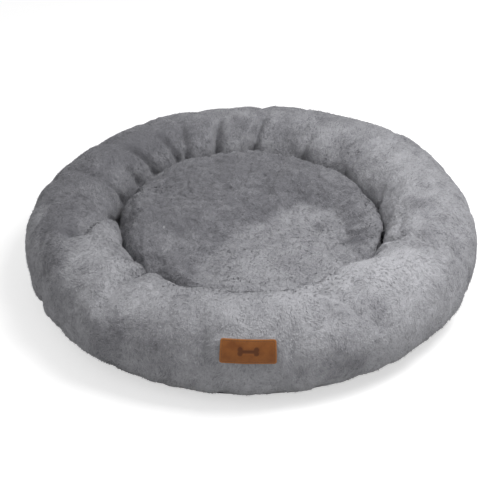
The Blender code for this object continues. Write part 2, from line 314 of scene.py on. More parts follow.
# ---- base: the floor of the well ----
# A thin pad of wadding lies on the base cloth, under a round of smooth lining on which the
# cushion rests. Both are caught in the ring's inner seam.
LINING_PUCKER = 0.00012


def wadding_finish(name):
    """Needled polyester wadding: white and matted."""
    made, tree, shader = finish_of(name)
    mat = pattern(tree, "TexNoise", {"Scale": 220.0, "Detail": 6.0, "Roughness": 0.75,
                                     "Distortion": 3.0})
    ramp = ramped(tree, mat, (0.55, 0.55, 0.54), (0.90, 0.90, 0.89))
    coloured(tree, shader, ramp.outputs["Color"])
    embossed(tree, shader, mat, 0.7, 0.001)
    shader.inputs["Roughness"].default_value = 1.0
    return made


def drawn_in(bm, depth, scale):
    """Lets the upper face of a flat piece sink unevenly, as stitched and pressed cloth does."""
    top = max(v.co.z for v in bm.verts)
    for vert in bm.verts:
        if vert.co.z > top - 1e-6:
            vert.co.z -= depth * (1 + noise.noise(vert.co * scale))
    return bm


wadding_low, wadding_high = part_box("base_wadding")
lining_low, lining_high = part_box("well_floor")
wadding = put("well_wadding", mesh_of("well_wadding", drawn_in(
    round_cloth(wadding_high.x, wadding_low.z, wadding_high.z, 30), 0.0004, 40)),
    wadding_finish("wadding"))
lining = put("well_lining", mesh_of("well_lining", drawn_in(
    round_cloth(lining_high.x, lining_low.z, lining_high.z, 30), LINING_PUCKER, 70)),
    woven_finish("lining", (0.26, 0.26, 0.28), 520.0, 0.7))
for piece, cad, finish in ((wadding, "base_wadding", "wadding"), (lining, "well_floor", "lining")):
    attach(piece, "bed")
    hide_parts(cad)


def dressed(name, finish):
    """A node carried over from the CAD model, in its new material."""
    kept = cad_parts[name]
    kept.data.materials.clear()
    kept.data.materials.append(finish)
    return kept


tape_finish = woven_finish("seam_tape", (0.16, 0.16, 0.175), 700.0)
for name in ("outer_seam_tape", "inner_seam_tape"):
    tape = dressed(name, tape_finish)


# ---- stuffed ring: its cover ----
# One tube of short polyester plush, cut wide and gathered towards the well, so that it falls in
# puffs between deep pleats. Its two edges are sewn to the base; a zip lies in the back.
PLUSH = 0.0030
SEAT_GAP = 0.0008
RING_TURNS = 320
RING_ROWS = 60
OUTER_SEAM = radians(-75.0)
INNER_SEAM = radians(250.0)
UPPER_ROUND = 2.15
LOWER_ROUND = 2.9
SLACK = 0.0072            # how far the cloth starts inside its stuffed shape
SWELL = 0.0085            # the furthest that the stuffing presses it out
RING_PRESSURE = 10.0
RING_SPARE = 0.035        # how much longer the cloth is than its drawn-in shape
STUFFING_FRAMES = 20
FOLD_SPREAD = radians(50)  # a fold's whole line lies within this of its first turn
CALM_BY_ZIP = 0.030
CALM_BY_TAG = 0.022
REAR = radians(90.0)
FRONT = radians(-90.0)
ZIP_LEAN = radians(-30.0)
WINDOW_HALF_ARC = radians(44.0)
WINDOW_HALF_HEIGHT = 0.0127
TAG_LEAN = radians(24.0)
TAG_SIZE = (0.066, 0.029)

base_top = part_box("base_panel")[1].z
ring_bottom = base_top + GAP
ring_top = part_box("bolster_cover")[1].z
bed_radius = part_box("bolster_cover")[1].x
well_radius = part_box("cushion_top_cover")[1].x + SEAT_GAP
half_width = (bed_radius - well_radius) / 2
half_height = (ring_top - ring_bottom) / 2
ring_middle = (bed_radius + well_radius) / 2
ring_centre_z = ring_bottom + half_height

# Each fold: its line as (turn, section angle) in degrees, its depth and its half width.
# Turn 0 is the right-hand side, -90 the front; angle 0 is outermost, 90 the top, 180 the well.
FOLDS = (
    (((102, 98), (105, 166)), 0.020, 0.006),
    (((85, 84), (89, 162)), 0.013, 0.006),
    (((116, 90), (119, 165)), 0.012, 0.005),
    (((127, 98), (123, 164)), 0.010, 0.005),
    (((121, 112), (120, 136)), 0.006, 0.004),
    (((142, 86), (135, 170)), 0.013, 0.006),
    (((150, 124), (146, 168)), 0.010, 0.005),
    (((165, 120), (160, 172)), 0.010, 0.005),
    (((199, 51), (205, 30), (209, 9), (213, -6)), 0.007, 0.005),
    (((180, 113), (183, 161), (173, 184)), 0.012, 0.006),
    (((198, 72), (200, 100), (184, 150), (176, 180)), 0.015, 0.008),
    (((230, 100), (229, 180)), 0.016, 0.008),
    (((44, 154), (39, 130), (39, 100)), 0.006, 0.005),
    (((64, 120), (67, 170)), 0.005, 0.005),
    (((-26, 136), (-18, 132), (-8, 130)), 0.005, 0.004),
    (((-22, 116), (-24, 178)), 0.015, 0.008),
    (((3, 113), (5, 118)), 0.004, 0.007),
    (((-10, 92), (-12, 100)), 0.005, 0.008),
    (((-21, 70), (-19, 78)), 0.005, 0.009),
    (((-66, 84), (-69, 112)), 0.005, 0.004),
    (((-96, 128), (-92, 172)), 0.006, 0.006),
    (((-58, 132), (-55, 174)), 0.006, 0.006),
)


def power(value, exponent):
    """A power that keeps its sign."""
    return abs(value) ** exponent * (1 if value >= 0 else -1)


def section(angle, inset=0.0):
    """Radius and height on the ring's section, its lower half squarer where it rests."""
    exponent = 2 / (UPPER_ROUND if sin(angle) >= 0 else LOWER_ROUND)
    return (ring_middle + (half_width - inset) * power(cos(angle), exponent),
            ring_centre_z + (half_height - inset) * power(sin(angle), exponent))


def slope(angle):
    """Angle of the outward normal above the floor, at this angle of the section."""
    r0, z0 = section(angle - radians(0.4))
    r1, z1 = section(angle + radians(0.4))
    return atan2(-(r1 - r0), z1 - z0)


def climb(angle, length):
    """Angle of the section reached by going this far along the cloth, upwards if positive."""
    tick = radians(0.1) * (1 if length >= 0 else -1)
    walked = 0.0
    r0, z0 = section(angle)
    while walked < abs(length):
        r1, z1 = section(angle + tick)
        stretch = hypot(r1 - r0, z1 - z0)
        part = min(1.0, (abs(length) - walked) / stretch)
        angle += tick * part
        walked += stretch
        r0, z0 = r1, z1
    return angle


def on_ring(turn, angle, out):
    """Point at this turn about Z and this angle of the section, raised along the normal."""
    r, z = section(angle)
    lean = slope(angle)
    r += out * cos(lean)
    return Vector((r * cos(turn), r * sin(turn), z + out * sin(lean)))


def apart(turn, other):
    """Smallest difference between two turns."""
    return (turn - other + pi) % (2 * pi) - pi


def to_line(turn, angle, line):
    """Distance over the cloth to a fold's line, how far along it that is, and the place there."""
    girth = section(angle)[0]
    best, at, place = 9.0, 0.0, None
    spans = list(zip(line, line[1:]))
    for k, ((t0, a0), (t1, a1)) in enumerate(spans):
        px = apart(turn, radians(t0)) * girth
        py = (angle - radians(a0)) * half_width
        dx = radians(t1 - t0) * girth
        dy = radians(a1 - a0) * half_width
        part = max(0.0, min(1.0, (px * dx + py * dy) / (dx * dx + dy * dy)))
        gap = hypot(px - dx * part, py - dy * part)
        if gap < best:
            best, at = gap, (k + part) / len(spans)
            place = radians(t0 + (t1 - t0) * part), radians(a0 + (a1 - a0) * part)
    return best, at, place


def near_fold(turn, angle):
    """The place on a fold's line that lies within half a mesh of the cloth from here, if any."""
    for line, _, _ in FOLDS:
        if abs(apart(turn, radians(line[0][0]))) < FOLD_SPREAD:
            gap, _, place = to_line(turn, angle, line)
            if gap < 0.52 * 2 * pi * section(angle)[0] / RING_TURNS:
                return place
    return None


def fold_depth(turn, angle):
    """How deep the folds draw the cloth in at a place."""
    drawn = 0.0
    for line, depth, width in FOLDS:
        if abs(apart(turn, radians(line[0][0]))) < FOLD_SPREAD:
            gap, at, _ = to_line(turn, angle, line)
            if gap < 4 * width:
                drawn = max(drawn, depth * min(1.0, 0.08 + 3 * at) * exp(-(gap / width) ** 2))
    return drawn


def from_zip(turn, angle):
    """Distance over the cloth from the zip's opening, below zero inside it."""
    return max(abs(angle - ZIP_LEAN) * half_width - WINDOW_HALF_HEIGHT,
               (abs(apart(turn, REAR)) - WINDOW_HALF_ARC) * bed_radius)


def from_tag(turn, angle):
    """Distance over the cloth from the leather patch, below zero under it."""
    return max(abs(apart(turn, FRONT)) * bed_radius - TAG_SIZE[0] / 2,
               abs(angle - TAG_LEAN) * half_width - TAG_SIZE[1] / 2)


def calm(turn, angle):
    """1 at the tag and round the zip, where the cover keeps to its pattern, and 0 away from them."""
    at_zip = 1 - max(0.0, from_zip(turn, angle)) / CALM_BY_ZIP
    at_tag = 1 - max(0.0, from_tag(turn, angle)) / CALM_BY_TAG
    return max(0.0, at_zip, at_tag)


LIP_LEAN = 0.0050         # how far the ring leans in over the well all round
LIP_ANGLE = radians(144)
LIP_REACH = 0.022

# Where the stuffing stands out over the well or has sunk: turn, angle, reach along, height.
PUFFS = (
    (-172, 142, 0.046, 0.013), (-148, 140, 0.040, 0.010), (-50, 136, 0.050, 0.008),
    (-100, 120, 0.060, 0.004), (95, 120, 0.022, 0.006), (60, 125, 0.040, 0.005),
    (20, 125, 0.050, 0.006), (-74, 124, 0.020, -0.004), (150, 110, 0.030, 0.004),
    (42, 74, 0.080, 0.0085), (84, 76, 0.030, 0.004),
)


def puff(turn, angle):
    """Slow swelling and sinking of the stuffing round the ring."""
    place = Vector((3.2 * cos(turn), 3.2 * sin(turn), 1.1 * angle))
    out = 0.0035 * noise.noise(place) + 0.0020 * noise.noise(place * 2.7 + Vector((7, 0, 0)))
    out += LIP_LEAN * exp(-((angle - LIP_ANGLE) * half_width / LIP_REACH) ** 2)
    girth = section(angle)[0]
    for at, lean, reach, height in PUFFS:
        side = apart(turn, radians(at)) * girth
        rise = (angle - radians(lean)) * half_width * 1.4
        out += height * exp(-(side * side + rise * rise) / (reach * reach))
    return out


def tube():
    """The ring's outer skin, open where it is sewn to the base; each point keeps its angle."""
    bm = bmesh.new()
    angles = bm.verts.layers.float.new("angle")
    points = []
    for k in range(RING_ROWS + 1):
        angle = OUTER_SEAM + (INNER_SEAM - OUTER_SEAM) * k / RING_ROWS
        r, z = section(angle)
        points.append(bm.verts.new((r, 0.0, z)))
        points[-1][angles] = angle
    for first, second in zip(points, points[1:]):
        bm.edges.new((first, second))
    bmesh.ops.spin(bm, geom=bm.verts[:] + bm.edges[:], cent=(0, 0, 0), axis=(0, 0, 1),
                   angle=2 * pi, steps=RING_TURNS, use_merge=True)
    bmesh.ops.recalc_face_normals(bm, faces=bm.faces)
    return bm, angles


def place_of(vert, angles):
    """A point's turn about Z and its angle of the section."""
    return atan2(vert.co.y, vert.co.x), vert[angles]


window_top = climb(ZIP_LEAN, WINDOW_HALF_HEIGHT)


def in_window(face, angles):
    """Whether a face of the skin lies in the opening for the zip."""
    centre = face.calc_center_median()
    middle = sum(v[angles] for v in face.verts) / len(face.verts)
    return (abs(apart(atan2(centre.y, centre.x), REAR)) < WINDOW_HALF_ARC
            and abs(middle - ZIP_LEAN) < window_top - ZIP_LEAN)


def mark_window(bm, angles):
    """Brings the nearest threads of the cloth onto the outline of the zip's opening."""
    inside = [f for f in bm.faces if in_window(f, angles)]
    kept = {v for f in bm.faces if f not in set(inside) for v in f.verts}
    rim = {v for f in inside for v in f.verts} & kept
    for vert in rim:
        turn, angle = place_of(vert, angles)
        away = apart(turn, REAR)
        to_end = WINDOW_HALF_ARC - abs(away)
        to_side = (window_top - ZIP_LEAN) - abs(angle - ZIP_LEAN)
        if abs(to_end) * bed_radius < abs(to_side) * half_width:
            away = WINDOW_HALF_ARC * (1 if away > 0 else -1)
        else:
            angle = ZIP_LEAN + (window_top - ZIP_LEAN) * (1 if angle > ZIP_LEAN else -1)
        vert[angles] = angle
        vert.co = on_ring(REAR + away, angle, 0.0)


def open_window(mesh):
    """Takes the zip's opening out of a skin."""
    bm = bmesh.new()
    bm.from_mesh(mesh)
    angles = bm.verts.layers.float["angle"]
    inside = [f for f in bm.faces if in_window(f, angles)]
    bmesh.ops.delete(bm, geom=inside, context="FACES")
    bm.to_mesh(mesh)
    bm.free()


def stuffed(piece, sewn, pressure, most, spare):
    """Lets the stuffing press the cloth out, its sewn points held, and keeps each point within reach."""
    start = [v.co.copy() for v in piece.data.vertices]
    piece.vertex_groups.new(name="sewn").add(sewn, 1.0, "REPLACE")
    cloth = piece.modifiers.new("stuffing", "CLOTH")
    settings = cloth.settings
    settings.quality = 5
    settings.mass = 0.3
    settings.tension_stiffness = 2
    settings.compression_stiffness = 2
    settings.shear_stiffness = 1
    settings.bending_stiffness = 0.7
    settings.shrink_min = -spare
    settings.use_pressure = True
    settings.uniform_pressure_force = pressure
    settings.vertex_group_mass = "sewn"
    settings.effector_weights.gravity = 0.0
    cloth.point_cache.frame_start = 1
    cloth.point_cache.frame_end = STUFFING_FRAMES
    for now in range(1, STUFFING_FRAMES + 1):
        scene.frame_set(now)
    graph = bpy.context.evaluated_depsgraph_get()
    shaped = bpy.data.meshes.new_from_object(piece.evaluated_get(graph))
    piece.modifiers.clear()
    scene.frame_set(1)
    moves = []
    for vert, was in zip(shaped.vertices, start):
        move = vert.co - was
        if move.length > most:
            move *= most / move.length
        vert.co = was + move
        moves.append(move.length)
    print(f"{piece.name}: cloth moved {sum(moves) / len(moves) * 1000:.1f} mm on average,",
          f"{max(moves) * 1000:.1f} mm at most")
    piece.data = shaped
    piece.vertex_groups.clear()


# Places where the pile was brushed the other way: turn, section angle, reach, and how much lighter.
BRUSHED = (
    (-160, 127, 0.030, 0.28), (-144, 95, 0.026, 0.22), (-118, 60, 0.024, 0.26),
    (-128, 76, 0.028, 0.14), (-57, 128, 0.040, 0.22), (-93, 76, 0.040, 0.22),
    (-78, 70, 0.030, 0.18), (-44, 96, 0.036, 0.24), (-42, 66, 0.030, 0.16),
    (-178, 42, 0.022, 0.20), (-162, 28, 0.022, 0.20), (-16, 95, 0.020, 0.12),
    (30, 150, 0.026, 0.14), (22, 112, 0.034, 0.20), (6, 143, 0.026, 0.18),
    (96, 100, 0.020, 0.20), (60, 130, 0.030, 0.10), (-140, 48, 0.018, 0.12),
    (-141, 26, 0.026, -0.16), (-164, 86, 0.034, -0.26), (-125, 21, 0.026, -0.18),
    (-125, -18, 0.030, -0.22), (-111, 22, 0.024, -0.20), (-3, 105, 0.018, -0.16),
    (-11, 84, 0.022, -0.20), (-22, 96, 0.018, -0.18), (-24, 80, 0.014, -0.12),
    (-57, 58, 0.022, -0.16), (-57, 37, 0.026, -0.18), (-68, 13, 0.022, -0.20),
    (-68, -8, 0.022, -0.18), (131, 114, 0.040, -0.18), (94, 124, 0.018, -0.16),
    (46, 133, 0.020, -0.16), (-102, -2, 0.024, -0.16), (165, 116, 0.034, -0.16),
    (-178, 84, 0.030, -0.16), (-152, 60, 0.026, -0.14), (-100, 30, 0.020, -0.10),
    (168, 72, 0.045, -0.22), (148, 92, 0.050, -0.24), (124, 100, 0.045, -0.14),
    (-170, 90, 0.040, -0.10), (-176, 12, 0.030, 0.26), (-150, 8, 0.026, 0.14),
    (-90, 96, 0.060, -0.18), (-95, 0, 0.060, 0.06), (-172, 40, 0.030, -0.10),
    (30, 80, 0.090, -0.03), (-165, 80, 0.060, -0.14), (-130, 20, 0.050, 0.06),
    (-96, 10, 0.040, 0.06),
    (-20, 20, 0.070, -0.10), (-8, 50, 0.060, -0.08),
)


def nap_and_side_light(turn, angle):
    """How light the pile lies, 0 to 1: its nap, with painted light lighter on the right, darker behind and
    low on the left.
    """
    girth = section(angle)[0]
    place = Vector((cos(turn) * girth, sin(turn) * girth, section(angle)[1]))
    warp = Vector((noise.noise(place * 21), noise.noise(place * 21 + Vector((5, 1, 0))), 0)) * 0.012
    place += warp
    # Painted light: the pile is made lighter towards the right front and darker towards the back and the
    # left, as the lamps light it.
    tone = 0.46 + 0.13 * cos(turn + radians(30)) - 0.05 * sin(turn)
    tone += 0.16 * noise.noise(place * 19) + 0.14 * noise.noise(place * 47 + Vector((3, 0, 9)))
    tone += 0.12 * noise.noise(place * 100)
    for at, lean, reach, lighter in BRUSHED:
        side = apart(turn, radians(at)) * girth + warp.x * 1.5
        rise = (angle - radians(lean)) * half_width + warp.y * 1.5
        tone += lighter * exp(-(side * side + rise * rise) / (reach * reach))
    return max(0.0, min(1.0, tone))


def combed(turn, angle, tone):
    """Direction in which the pile lies: down the outside, swept sideways and whirled in places."""
    lean = slope(angle)
    along = Vector((-sin(turn), cos(turn), 0.0))
    radial = Vector((cos(turn), sin(turn), 0.0))
    up = Vector((-sin(lean) * radial.x, -sin(lean) * radial.y, cos(lean)))
    place = Vector((cos(turn) * 5, sin(turn) * 5, angle * 1.4))
    swing = 2.2 * noise.noise(place) + 1.2 * noise.noise(place * 3 + Vector((0, 4, 2)))
    heading = radians(-90) + swing + (tone - 0.5) * 1.5
    return along * cos(heading) + up * sin(heading)


def ruffled(place, flow, lie):
    """Height of the pile at a place: clumps drawn out along the way that it is combed."""
    across = flow.cross(lie)
    streak = Vector((place.dot(flow) * 55, place.dot(across) * 150, place.dot(lie) * 150))
    fine = Vector((place.dot(flow) * 140, place.dot(across) * 330, place.dot(lie) * 330))
    return 0.00075 * noise.noise(streak) + 0.00040 * noise.noise(fine)


def write_pile(mesh, nap_and_light_tones, flows, places, growth):
    """Stores on each point how its pile lies, with its painted light, its place on the map and how thickly
    tufts grow.
    """
    for name, values in (("flow", flows), ("place", places)):
        made = mesh.attributes.new(name, "FLOAT_VECTOR", "POINT")
        made.data.foreach_set("vector", [x for v in values for x in v])
    for name, values in (("nap_and_painted_light", nap_and_light_tones), ("growth", growth), ("tuft", [0.5] * len(nap_and_light_tones))):
        made = mesh.attributes.new(name, "FLOAT", "POINT")
        made.data.foreach_set("value", values)


def plush_finish(name, light, dark, curl=0.0):
    """Short plush: pale tips over darker roots, in patches as the nap lies and as light is painted into
    it, darker towards the floor with painted shade; matt with a soft sheen.
    """
    made, tree, shader = finish_of(name)
    own = step(tree, "TexCoord").outputs["Object"]
    nap_and_painted_light = step(tree, "Attribute", attribute_name="nap_and_painted_light").outputs["Fac"]
    tone = step(tree, "Attribute", attribute_name="tuft").outputs["Fac"]
    clumps = pattern(tree, "TexNoise", {"Scale": 170.0, "Detail": 4.0, "Roughness": 0.65,
                                        "Distortion": 0.5 + curl})
    hairs = pattern(tree, "TexNoise", {"Scale": 560.0, "Detail": 3.0, "Roughness": 0.65,
                                       "Distortion": curl})
    mixed = added(tree, tone, 0.44, added(tree, hairs, 0.60, added(tree, clumps, 0.50, nap_and_painted_light)))
    share = step(tree, "MapRange", {"Value": mixed, "From Min": 0.86, "From Max": 1.61})
    ramp = ramped(tree, share.outputs["Result"], dark, light)
    # Painted shade: the colour is darkened, a little green, towards the floor, where less light falls.
    height = step(tree, "SeparateXYZ", {"Vector": own}).outputs["Z"]
    low = step(tree, "MapRange", {"Value": height, "From Min": 0.004, "From Max": 0.040,
                                  "To Min": 0.75, "To Max": 0.0})
    painted_low_shade = step(tree, "Mix", {"Factor": low.outputs["Result"], "A": ramp.outputs["Color"],
                               "B": (0.66, 0.67, 0.63, 1.0)}, data_type="RGBA",
                 blend_type="MULTIPLY")
    coloured(tree, shader, painted_low_shade.outputs["Result"])
    roughened(tree, shader, clumps, 0.78, 1.0)
    embossed(tree, shader, added(tree, clumps, 1.6, hairs), 0.80, 0.0018)
    shader.inputs["Sheen Weight"].default_value = 0.35
    shader.inputs["Sheen Roughness"].default_value = 0.45
    shader.inputs["Sheen Tint"].default_value = (0.80, 0.80, 0.84, 1.0)
    shader.inputs["Specular IOR Level"].default_value = 0.15
    return made


ring_plush = plush_finish("ring_plush", (0.47, 0.47, 0.495), (0.17, 0.17, 0.185))


def ring_skin():
    """The folded, stuffed skin, before its pile is raised, with each point's place on the ring."""
    bm, angles = tube()
    mark_window(bm, angles)
    sewn = []
    bm.verts.ensure_lookup_table()
    bm.verts.index_update()
    for vert in bm.verts:
        turn, angle = place_of(vert, angles)
        fold = near_fold(turn, angle)
        if fold:
            turn, angle = fold
            vert[angles] = angle
        loose = 1 - calm(turn, angle)
        out = (puff(turn, angle) - SLACK - fold_depth(turn, angle)) * loose
        seam = min(angle - OUTER_SEAM, INNER_SEAM - angle) * half_width
        out *= min(1.0, seam / 0.02)
        vert.co = on_ring(turn, angle, out)
        if fold or seam < 0.004 or loose < 0.35:
            sewn.append(vert.index)
    skin = put("plush_ring", mesh_of("plush_ring", bm))
    stuffed(skin, sewn, RING_PRESSURE, SWELL, RING_SPARE)
    return skin


def refined(piece, levels=1):
    """Applies a subdivision surface that keeps the edges of the cloth where they are."""
    modifier = piece.modifiers.new("finer", "SUBSURF")
    modifier.levels = modifier.render_levels = levels
    modifier.boundary_smooth = "PRESERVE_CORNERS"
    graph = bpy.context.evaluated_depsgraph_get()
    finer = bpy.data.meshes.new_from_object(piece.evaluated_get(graph))
    piece.modifiers.clear()
    piece.data = finer


ring = ring_skin()
ring_backing = ring.data.copy()
refined(ring)


RING_SHARE = 0.8          # share of the ring's map that its outside takes
PILE_FROM = radians(-62)  # the pile stands up between these angles of the section
PILE_TO = radians(172)
CLEAR_OF_ZIP = 0.010
CLEAR_OF_TAG = -0.0005


def tuft_growth(turn, angle):
    """How thickly the pile stands up at a place: none under the ring, at the zip and on the tag."""
    if angle > PILE_TO or angle < PILE_FROM:
        return 0.0
    if from_zip(turn, angle) < CLEAR_OF_ZIP or from_tag(turn, angle) < CLEAR_OF_TAG:
        return 0.0
    return 1.0


def raise_ring_pile(piece):
    """Raises the pile's clumps on the ring and writes how it is combed and how light it lies, painted
    light included.
    """
    mesh = piece.data
    angles = [0.0] * len(mesh.vertices)
    mesh.attributes["angle"].data.foreach_get("value", angles)
    nap_and_light_tones, flows, places, growth = [], [], [], []
    normals = [v.normal.copy() for v in mesh.vertices]
    for vert, angle, lie in zip(mesh.vertices, angles, normals):
        turn = atan2(vert.co.y, vert.co.x)
        tone = nap_and_side_light(turn, angle)
        flow = combed(turn, angle, tone)
        loose = 1 - calm(turn, angle)
        vert.co += lie * ruffled(vert.co, flow, lie) * (0.3 + 0.7 * loose)
        nap_and_light_tones.append(tone)
        flows.append(flow)
        places.append(Vector((turn / (2 * pi) % 1.0,
                              RING_SHARE * (angle - OUTER_SEAM) / (INNER_SEAM - OUTER_SEAM), 0.0)))
        growth.append(tuft_growth(turn, angle))
    write_pile(mesh, nap_and_light_tones, flows, places, growth)


def lay_out(mesh):
    """Gives the skin its map for weave and wear, straight from each point's place."""
    layer = mesh.uv_layers.new(name="OFBake")
    places = mesh.attributes["place"].data
    for face in mesh.polygons:
        found = [places[mesh.loops[k].vertex_index].vector for k in face.loop_indices]
        widest = max(f.x for f in found)
        for k, at in zip(face.loop_indices, found):
            layer.data[k].uv = (at.x + (1.0 if widest - at.x > 0.5 else 0.0), at.y)


def rims(bm, inner):
    """The open edges of one side of a wall, as loops."""
    left = {e for e in bm.edges if e.is_boundary and (e.link_faces[0].material_index == 1) == inner}
    found = []
    while left:
        edge = left.pop()
        loop, ends = [edge], list(edge.verts)
        while ends:
            vert = ends.pop()
            for other in vert.link_edges:
                if other in left:
                    left.remove(other)
                    loop.append(other)
                    ends.append(other.other_vert(vert))
        found.append(loop)
    return found


def centre_of(loop):
    """The middle of a rim, with its mean reach as a fourth number."""
    verts = {v for e in loop for v in e.verts}
    middle = sum((v.co for v in verts), Vector()) / len(verts)
    reach = sum((v.co - middle).length for v in verts) / len(verts)
    return Vector((*middle, reach))


def walled(piece, backing, thickness):
    """Makes a skin into a wall of cloth: its backing, drawn in, is turned round and joined at the rims."""
    bm = bmesh.new()
    bm.from_mesh(piece.data)
    inside = bmesh.new()
    inside.from_mesh(backing)
    inside.normal_update()
    for vert in inside.verts:
        vert.co -= vert.normal * thickness
    bmesh.ops.reverse_faces(inside, faces=inside.faces)
    for face in inside.faces:
        face.material_index = 1
    drawn = bpy.data.meshes.new("backing")
    inside.to_mesh(drawn)
    inside.free()
    bm.from_mesh(drawn)
    outer, inner = rims(bm, False), rims(bm, True)
    for loop in outer:
        near = min(inner, key=lambda other: (centre_of(other) - centre_of(loop)).length)
        bmesh.ops.bridge_loops(bm, edges=loop + near)
        inner.remove(near)
    bmesh.ops.recalc_face_normals(bm, faces=bm.faces)
    bm.to_mesh(piece.data)
    bm.free()
    piece.data.shade_smooth()


def knit_finish(name, colour):
    """The knitted back of the plush: fine matt ribs."""
    made, tree, shader = finish_of(name)
    ribs = pattern(tree, "TexWave", {"Scale": 260.0, "Distortion": 1.5, "Detail": 2.0})
    coloured(tree, shader, tinted(tree, colour, between(tree, ribs, 0.75, 1.1)))
    embossed(tree, shader, ribs, 0.4, 0.0004)
    shader.inputs["Roughness"].default_value = 0.9
    return made


plush_back = knit_finish("plush_back", (0.36, 0.36, 0.38))
raise_ring_pile(ring)
open_window(ring.data)
cover_backing = ring_backing.copy()
open_window(cover_backing)
lay_out(ring.data)
ring_ground = ring.data.copy()
walled(ring, cover_backing, PLUSH)
ring.data.materials.append(ring_plush)
ring.data.materials.append(plush_back)
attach(ring, "bed")
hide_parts("bolster_cover")


# ---- stuffed ring: its pile ----
# The longer tufts of the ring's plush, each a lock of fibres rooted in the cloth and lying the way
# that the pile was brushed. They make its soft outline and the light and dark streaks.
TUFT_WIDTH = 0.0013
TUFT_THICKNESS = 0.0004
TUFT_LENGTH = 0.0040
RING_TUFTS = 150000       # tufts on each square metre of the ring's cover
TUFT_LIFT = 0.26          # how steeply a tuft rises, against the way it lies
RING_STRAY = 0.28         # how far a tuft strays from that way
RING_SEED = 11
TUFT_SIZES = (0.55, 1.3)  # the smallest and the largest tuft, against the middling one
TUFT_MAP = 0.002          # the size of one tuft on the map


def tuft_shape(name):
    """One lock of fibres: a three-sided spike, its root at the origin, one unit long."""
    bm = bmesh.new()
    bmesh.ops.create_cone(bm, cap_ends=True, cap_tris=True, segments=3, radius1=0.5, radius2=0.0,
                          depth=1.0)
    bmesh.ops.translate(bm, verts=bm.verts, vec=(0, 0, 0.5))
    bmesh.ops.remove_doubles(bm, verts=bm.verts, dist=1e-4)
    bmesh.ops.recalc_face_normals(bm, faces=bm.faces)
    shape = put(name, mesh_of(name, bm))
    shape.hide_render = True
    shape.hide_viewport = True
    return shape


def pile_nodes(name, shape, density, size, lift, stray, seed):
    """Nodes that root a tuft at scattered points of a cloth and lay it along the cloth's flow."""
    tree = bpy.data.node_groups.new(name, "GeometryNodeTree")
    tree.interface.new_socket("cloth", in_out="INPUT", socket_type="NodeSocketGeometry")
    tree.interface.new_socket("pile", in_out="OUTPUT", socket_type="NodeSocketGeometry")

    def stored(name, kind):
        """A value stored on the cloth."""
        return node(tree, "GeometryNodeInputNamedAttribute", {"Name": name},
                    data_type=kind).outputs["Attribute"]

    def chance(own_seed, limits=(0.0, 1.0)):
        """A random number for each tuft, between two limits."""
        made = node(tree, "FunctionNodeRandomValue", {"Seed": own_seed}, data_type="FLOAT")
        for socket, limit in zip([s for s in made.inputs if s.enabled], limits):
            socket.default_value = limit
        return [s for s in made.outputs if s.enabled][0]

    def vector(operation, sockets):
        return node(tree, "ShaderNodeVectorMath", sockets, operation=operation).outputs["Vector"]

    cloth = node(tree, "NodeGroupInput")
    thick = product(tree, stored("growth", "FLOAT"), density)
    roots = node(tree, "GeometryNodeDistributePointsOnFaces",
                 {"Mesh": cloth.outputs[0], "Density": thick, "Seed": seed},
                 distribute_method="RANDOM")
    normal = roots.outputs["Normal"]

    raised = vector("SCALE", {0: normal, "Scale": lift})
    leaning = vector("ADD", {0: stored("flow", "FLOAT_VECTOR"), 1: raised})
    strays = node(tree, "FunctionNodeRandomValue",
                  {"Min": [-stray] * 3, "Max": [stray] * 3, "Seed": seed + 1},
                  data_type="FLOAT_VECTOR")
    heading = vector("ADD", {0: leaning, 1: strays.outputs["Value"]})
    lengthwise = node(tree, "FunctionNodeAlignRotationToVector", {"Vector": heading}, axis="Z")
    flatwise = node(tree, "FunctionNodeAlignRotationToVector",
                    {"Rotation": lengthwise.outputs["Rotation"], "Vector": normal},
                    axis="Y", pivot_axis="Z")
    sized = vector("SCALE", {0: size, "Scale": chance(seed + 2, TUFT_SIZES)})

    taken = node(tree, "GeometryNodeObjectInfo", {"Object": shape, "As Instance": True})
    rooted = node(tree, "GeometryNodeInstanceOnPoints",
                  {"Points": roots.outputs["Points"], "Instance": taken.outputs["Geometry"],
                   "Rotation": flatwise.outputs["Rotation"], "Scale": sized})
    toned = node(tree, "GeometryNodeStoreNamedAttribute",
                 {"Name": "tuft", "Geometry": rooted.outputs["Instances"], "Value": chance(seed + 3)},
                 data_type="FLOAT", domain="INSTANCE")
    solid = node(tree, "GeometryNodeRealizeInstances", {"Geometry": toned.outputs["Geometry"]})
    node(tree, "NodeGroupOutput", {0: solid.outputs["Geometry"]})
    return tree


def grown(name, ground, density, size, lift, stray, seed):
    """A new piece: the tufts that grow on a ground, each with its own map place and tone."""
    shape = tuft_shape(name + "_tuft")
    carrier = put(name, ground)
    modifier = carrier.modifiers.new("tufts", "NODES")
    modifier.node_group = pile_nodes(name, shape, density, size, lift, stray, seed)
    graph = bpy.context.evaluated_depsgraph_get()
    mesh = bpy.data.meshes.new_from_object(carrier.evaluated_get(graph))
    carrier.modifiers.clear()
    carrier.data = mesh
    bpy.data.objects.remove(shape)
    print(f"{name}: {len(mesh.polygons)} faces")
    if "OFBake" in mesh.attributes:
        mesh.attributes.remove(mesh.attributes["OFBake"])
    layer = mesh.uv_layers.new(name="OFBake")
    places = mesh.attributes["place"].data
    spread = ((0.0, 0.0), (TUFT_MAP, 0.0), (0.0, TUFT_MAP), (TUFT_MAP, TUFT_MAP))
    for loop in mesh.loops:
        at = places[loop.vertex_index].vector
        side, rise = spread[loop.vertex_index % 4]
        layer.data[loop.index].uv = (at.x + side, at.y + rise)
    mesh.shade_flat()
    return carrier


def ground_of(mesh, rear, right):
    """A quarter of the ring's skin, for its tufts to grow on."""
    bm = bmesh.new()
    bm.from_mesh(mesh)
    away = [f for f in bm.faces if (f.calc_center_median().y > 0) != rear
            or (f.calc_center_median().x > 0) != right]
    bmesh.ops.delete(bm, geom=away, context="FACES")
    return mesh_of("ground", bm)


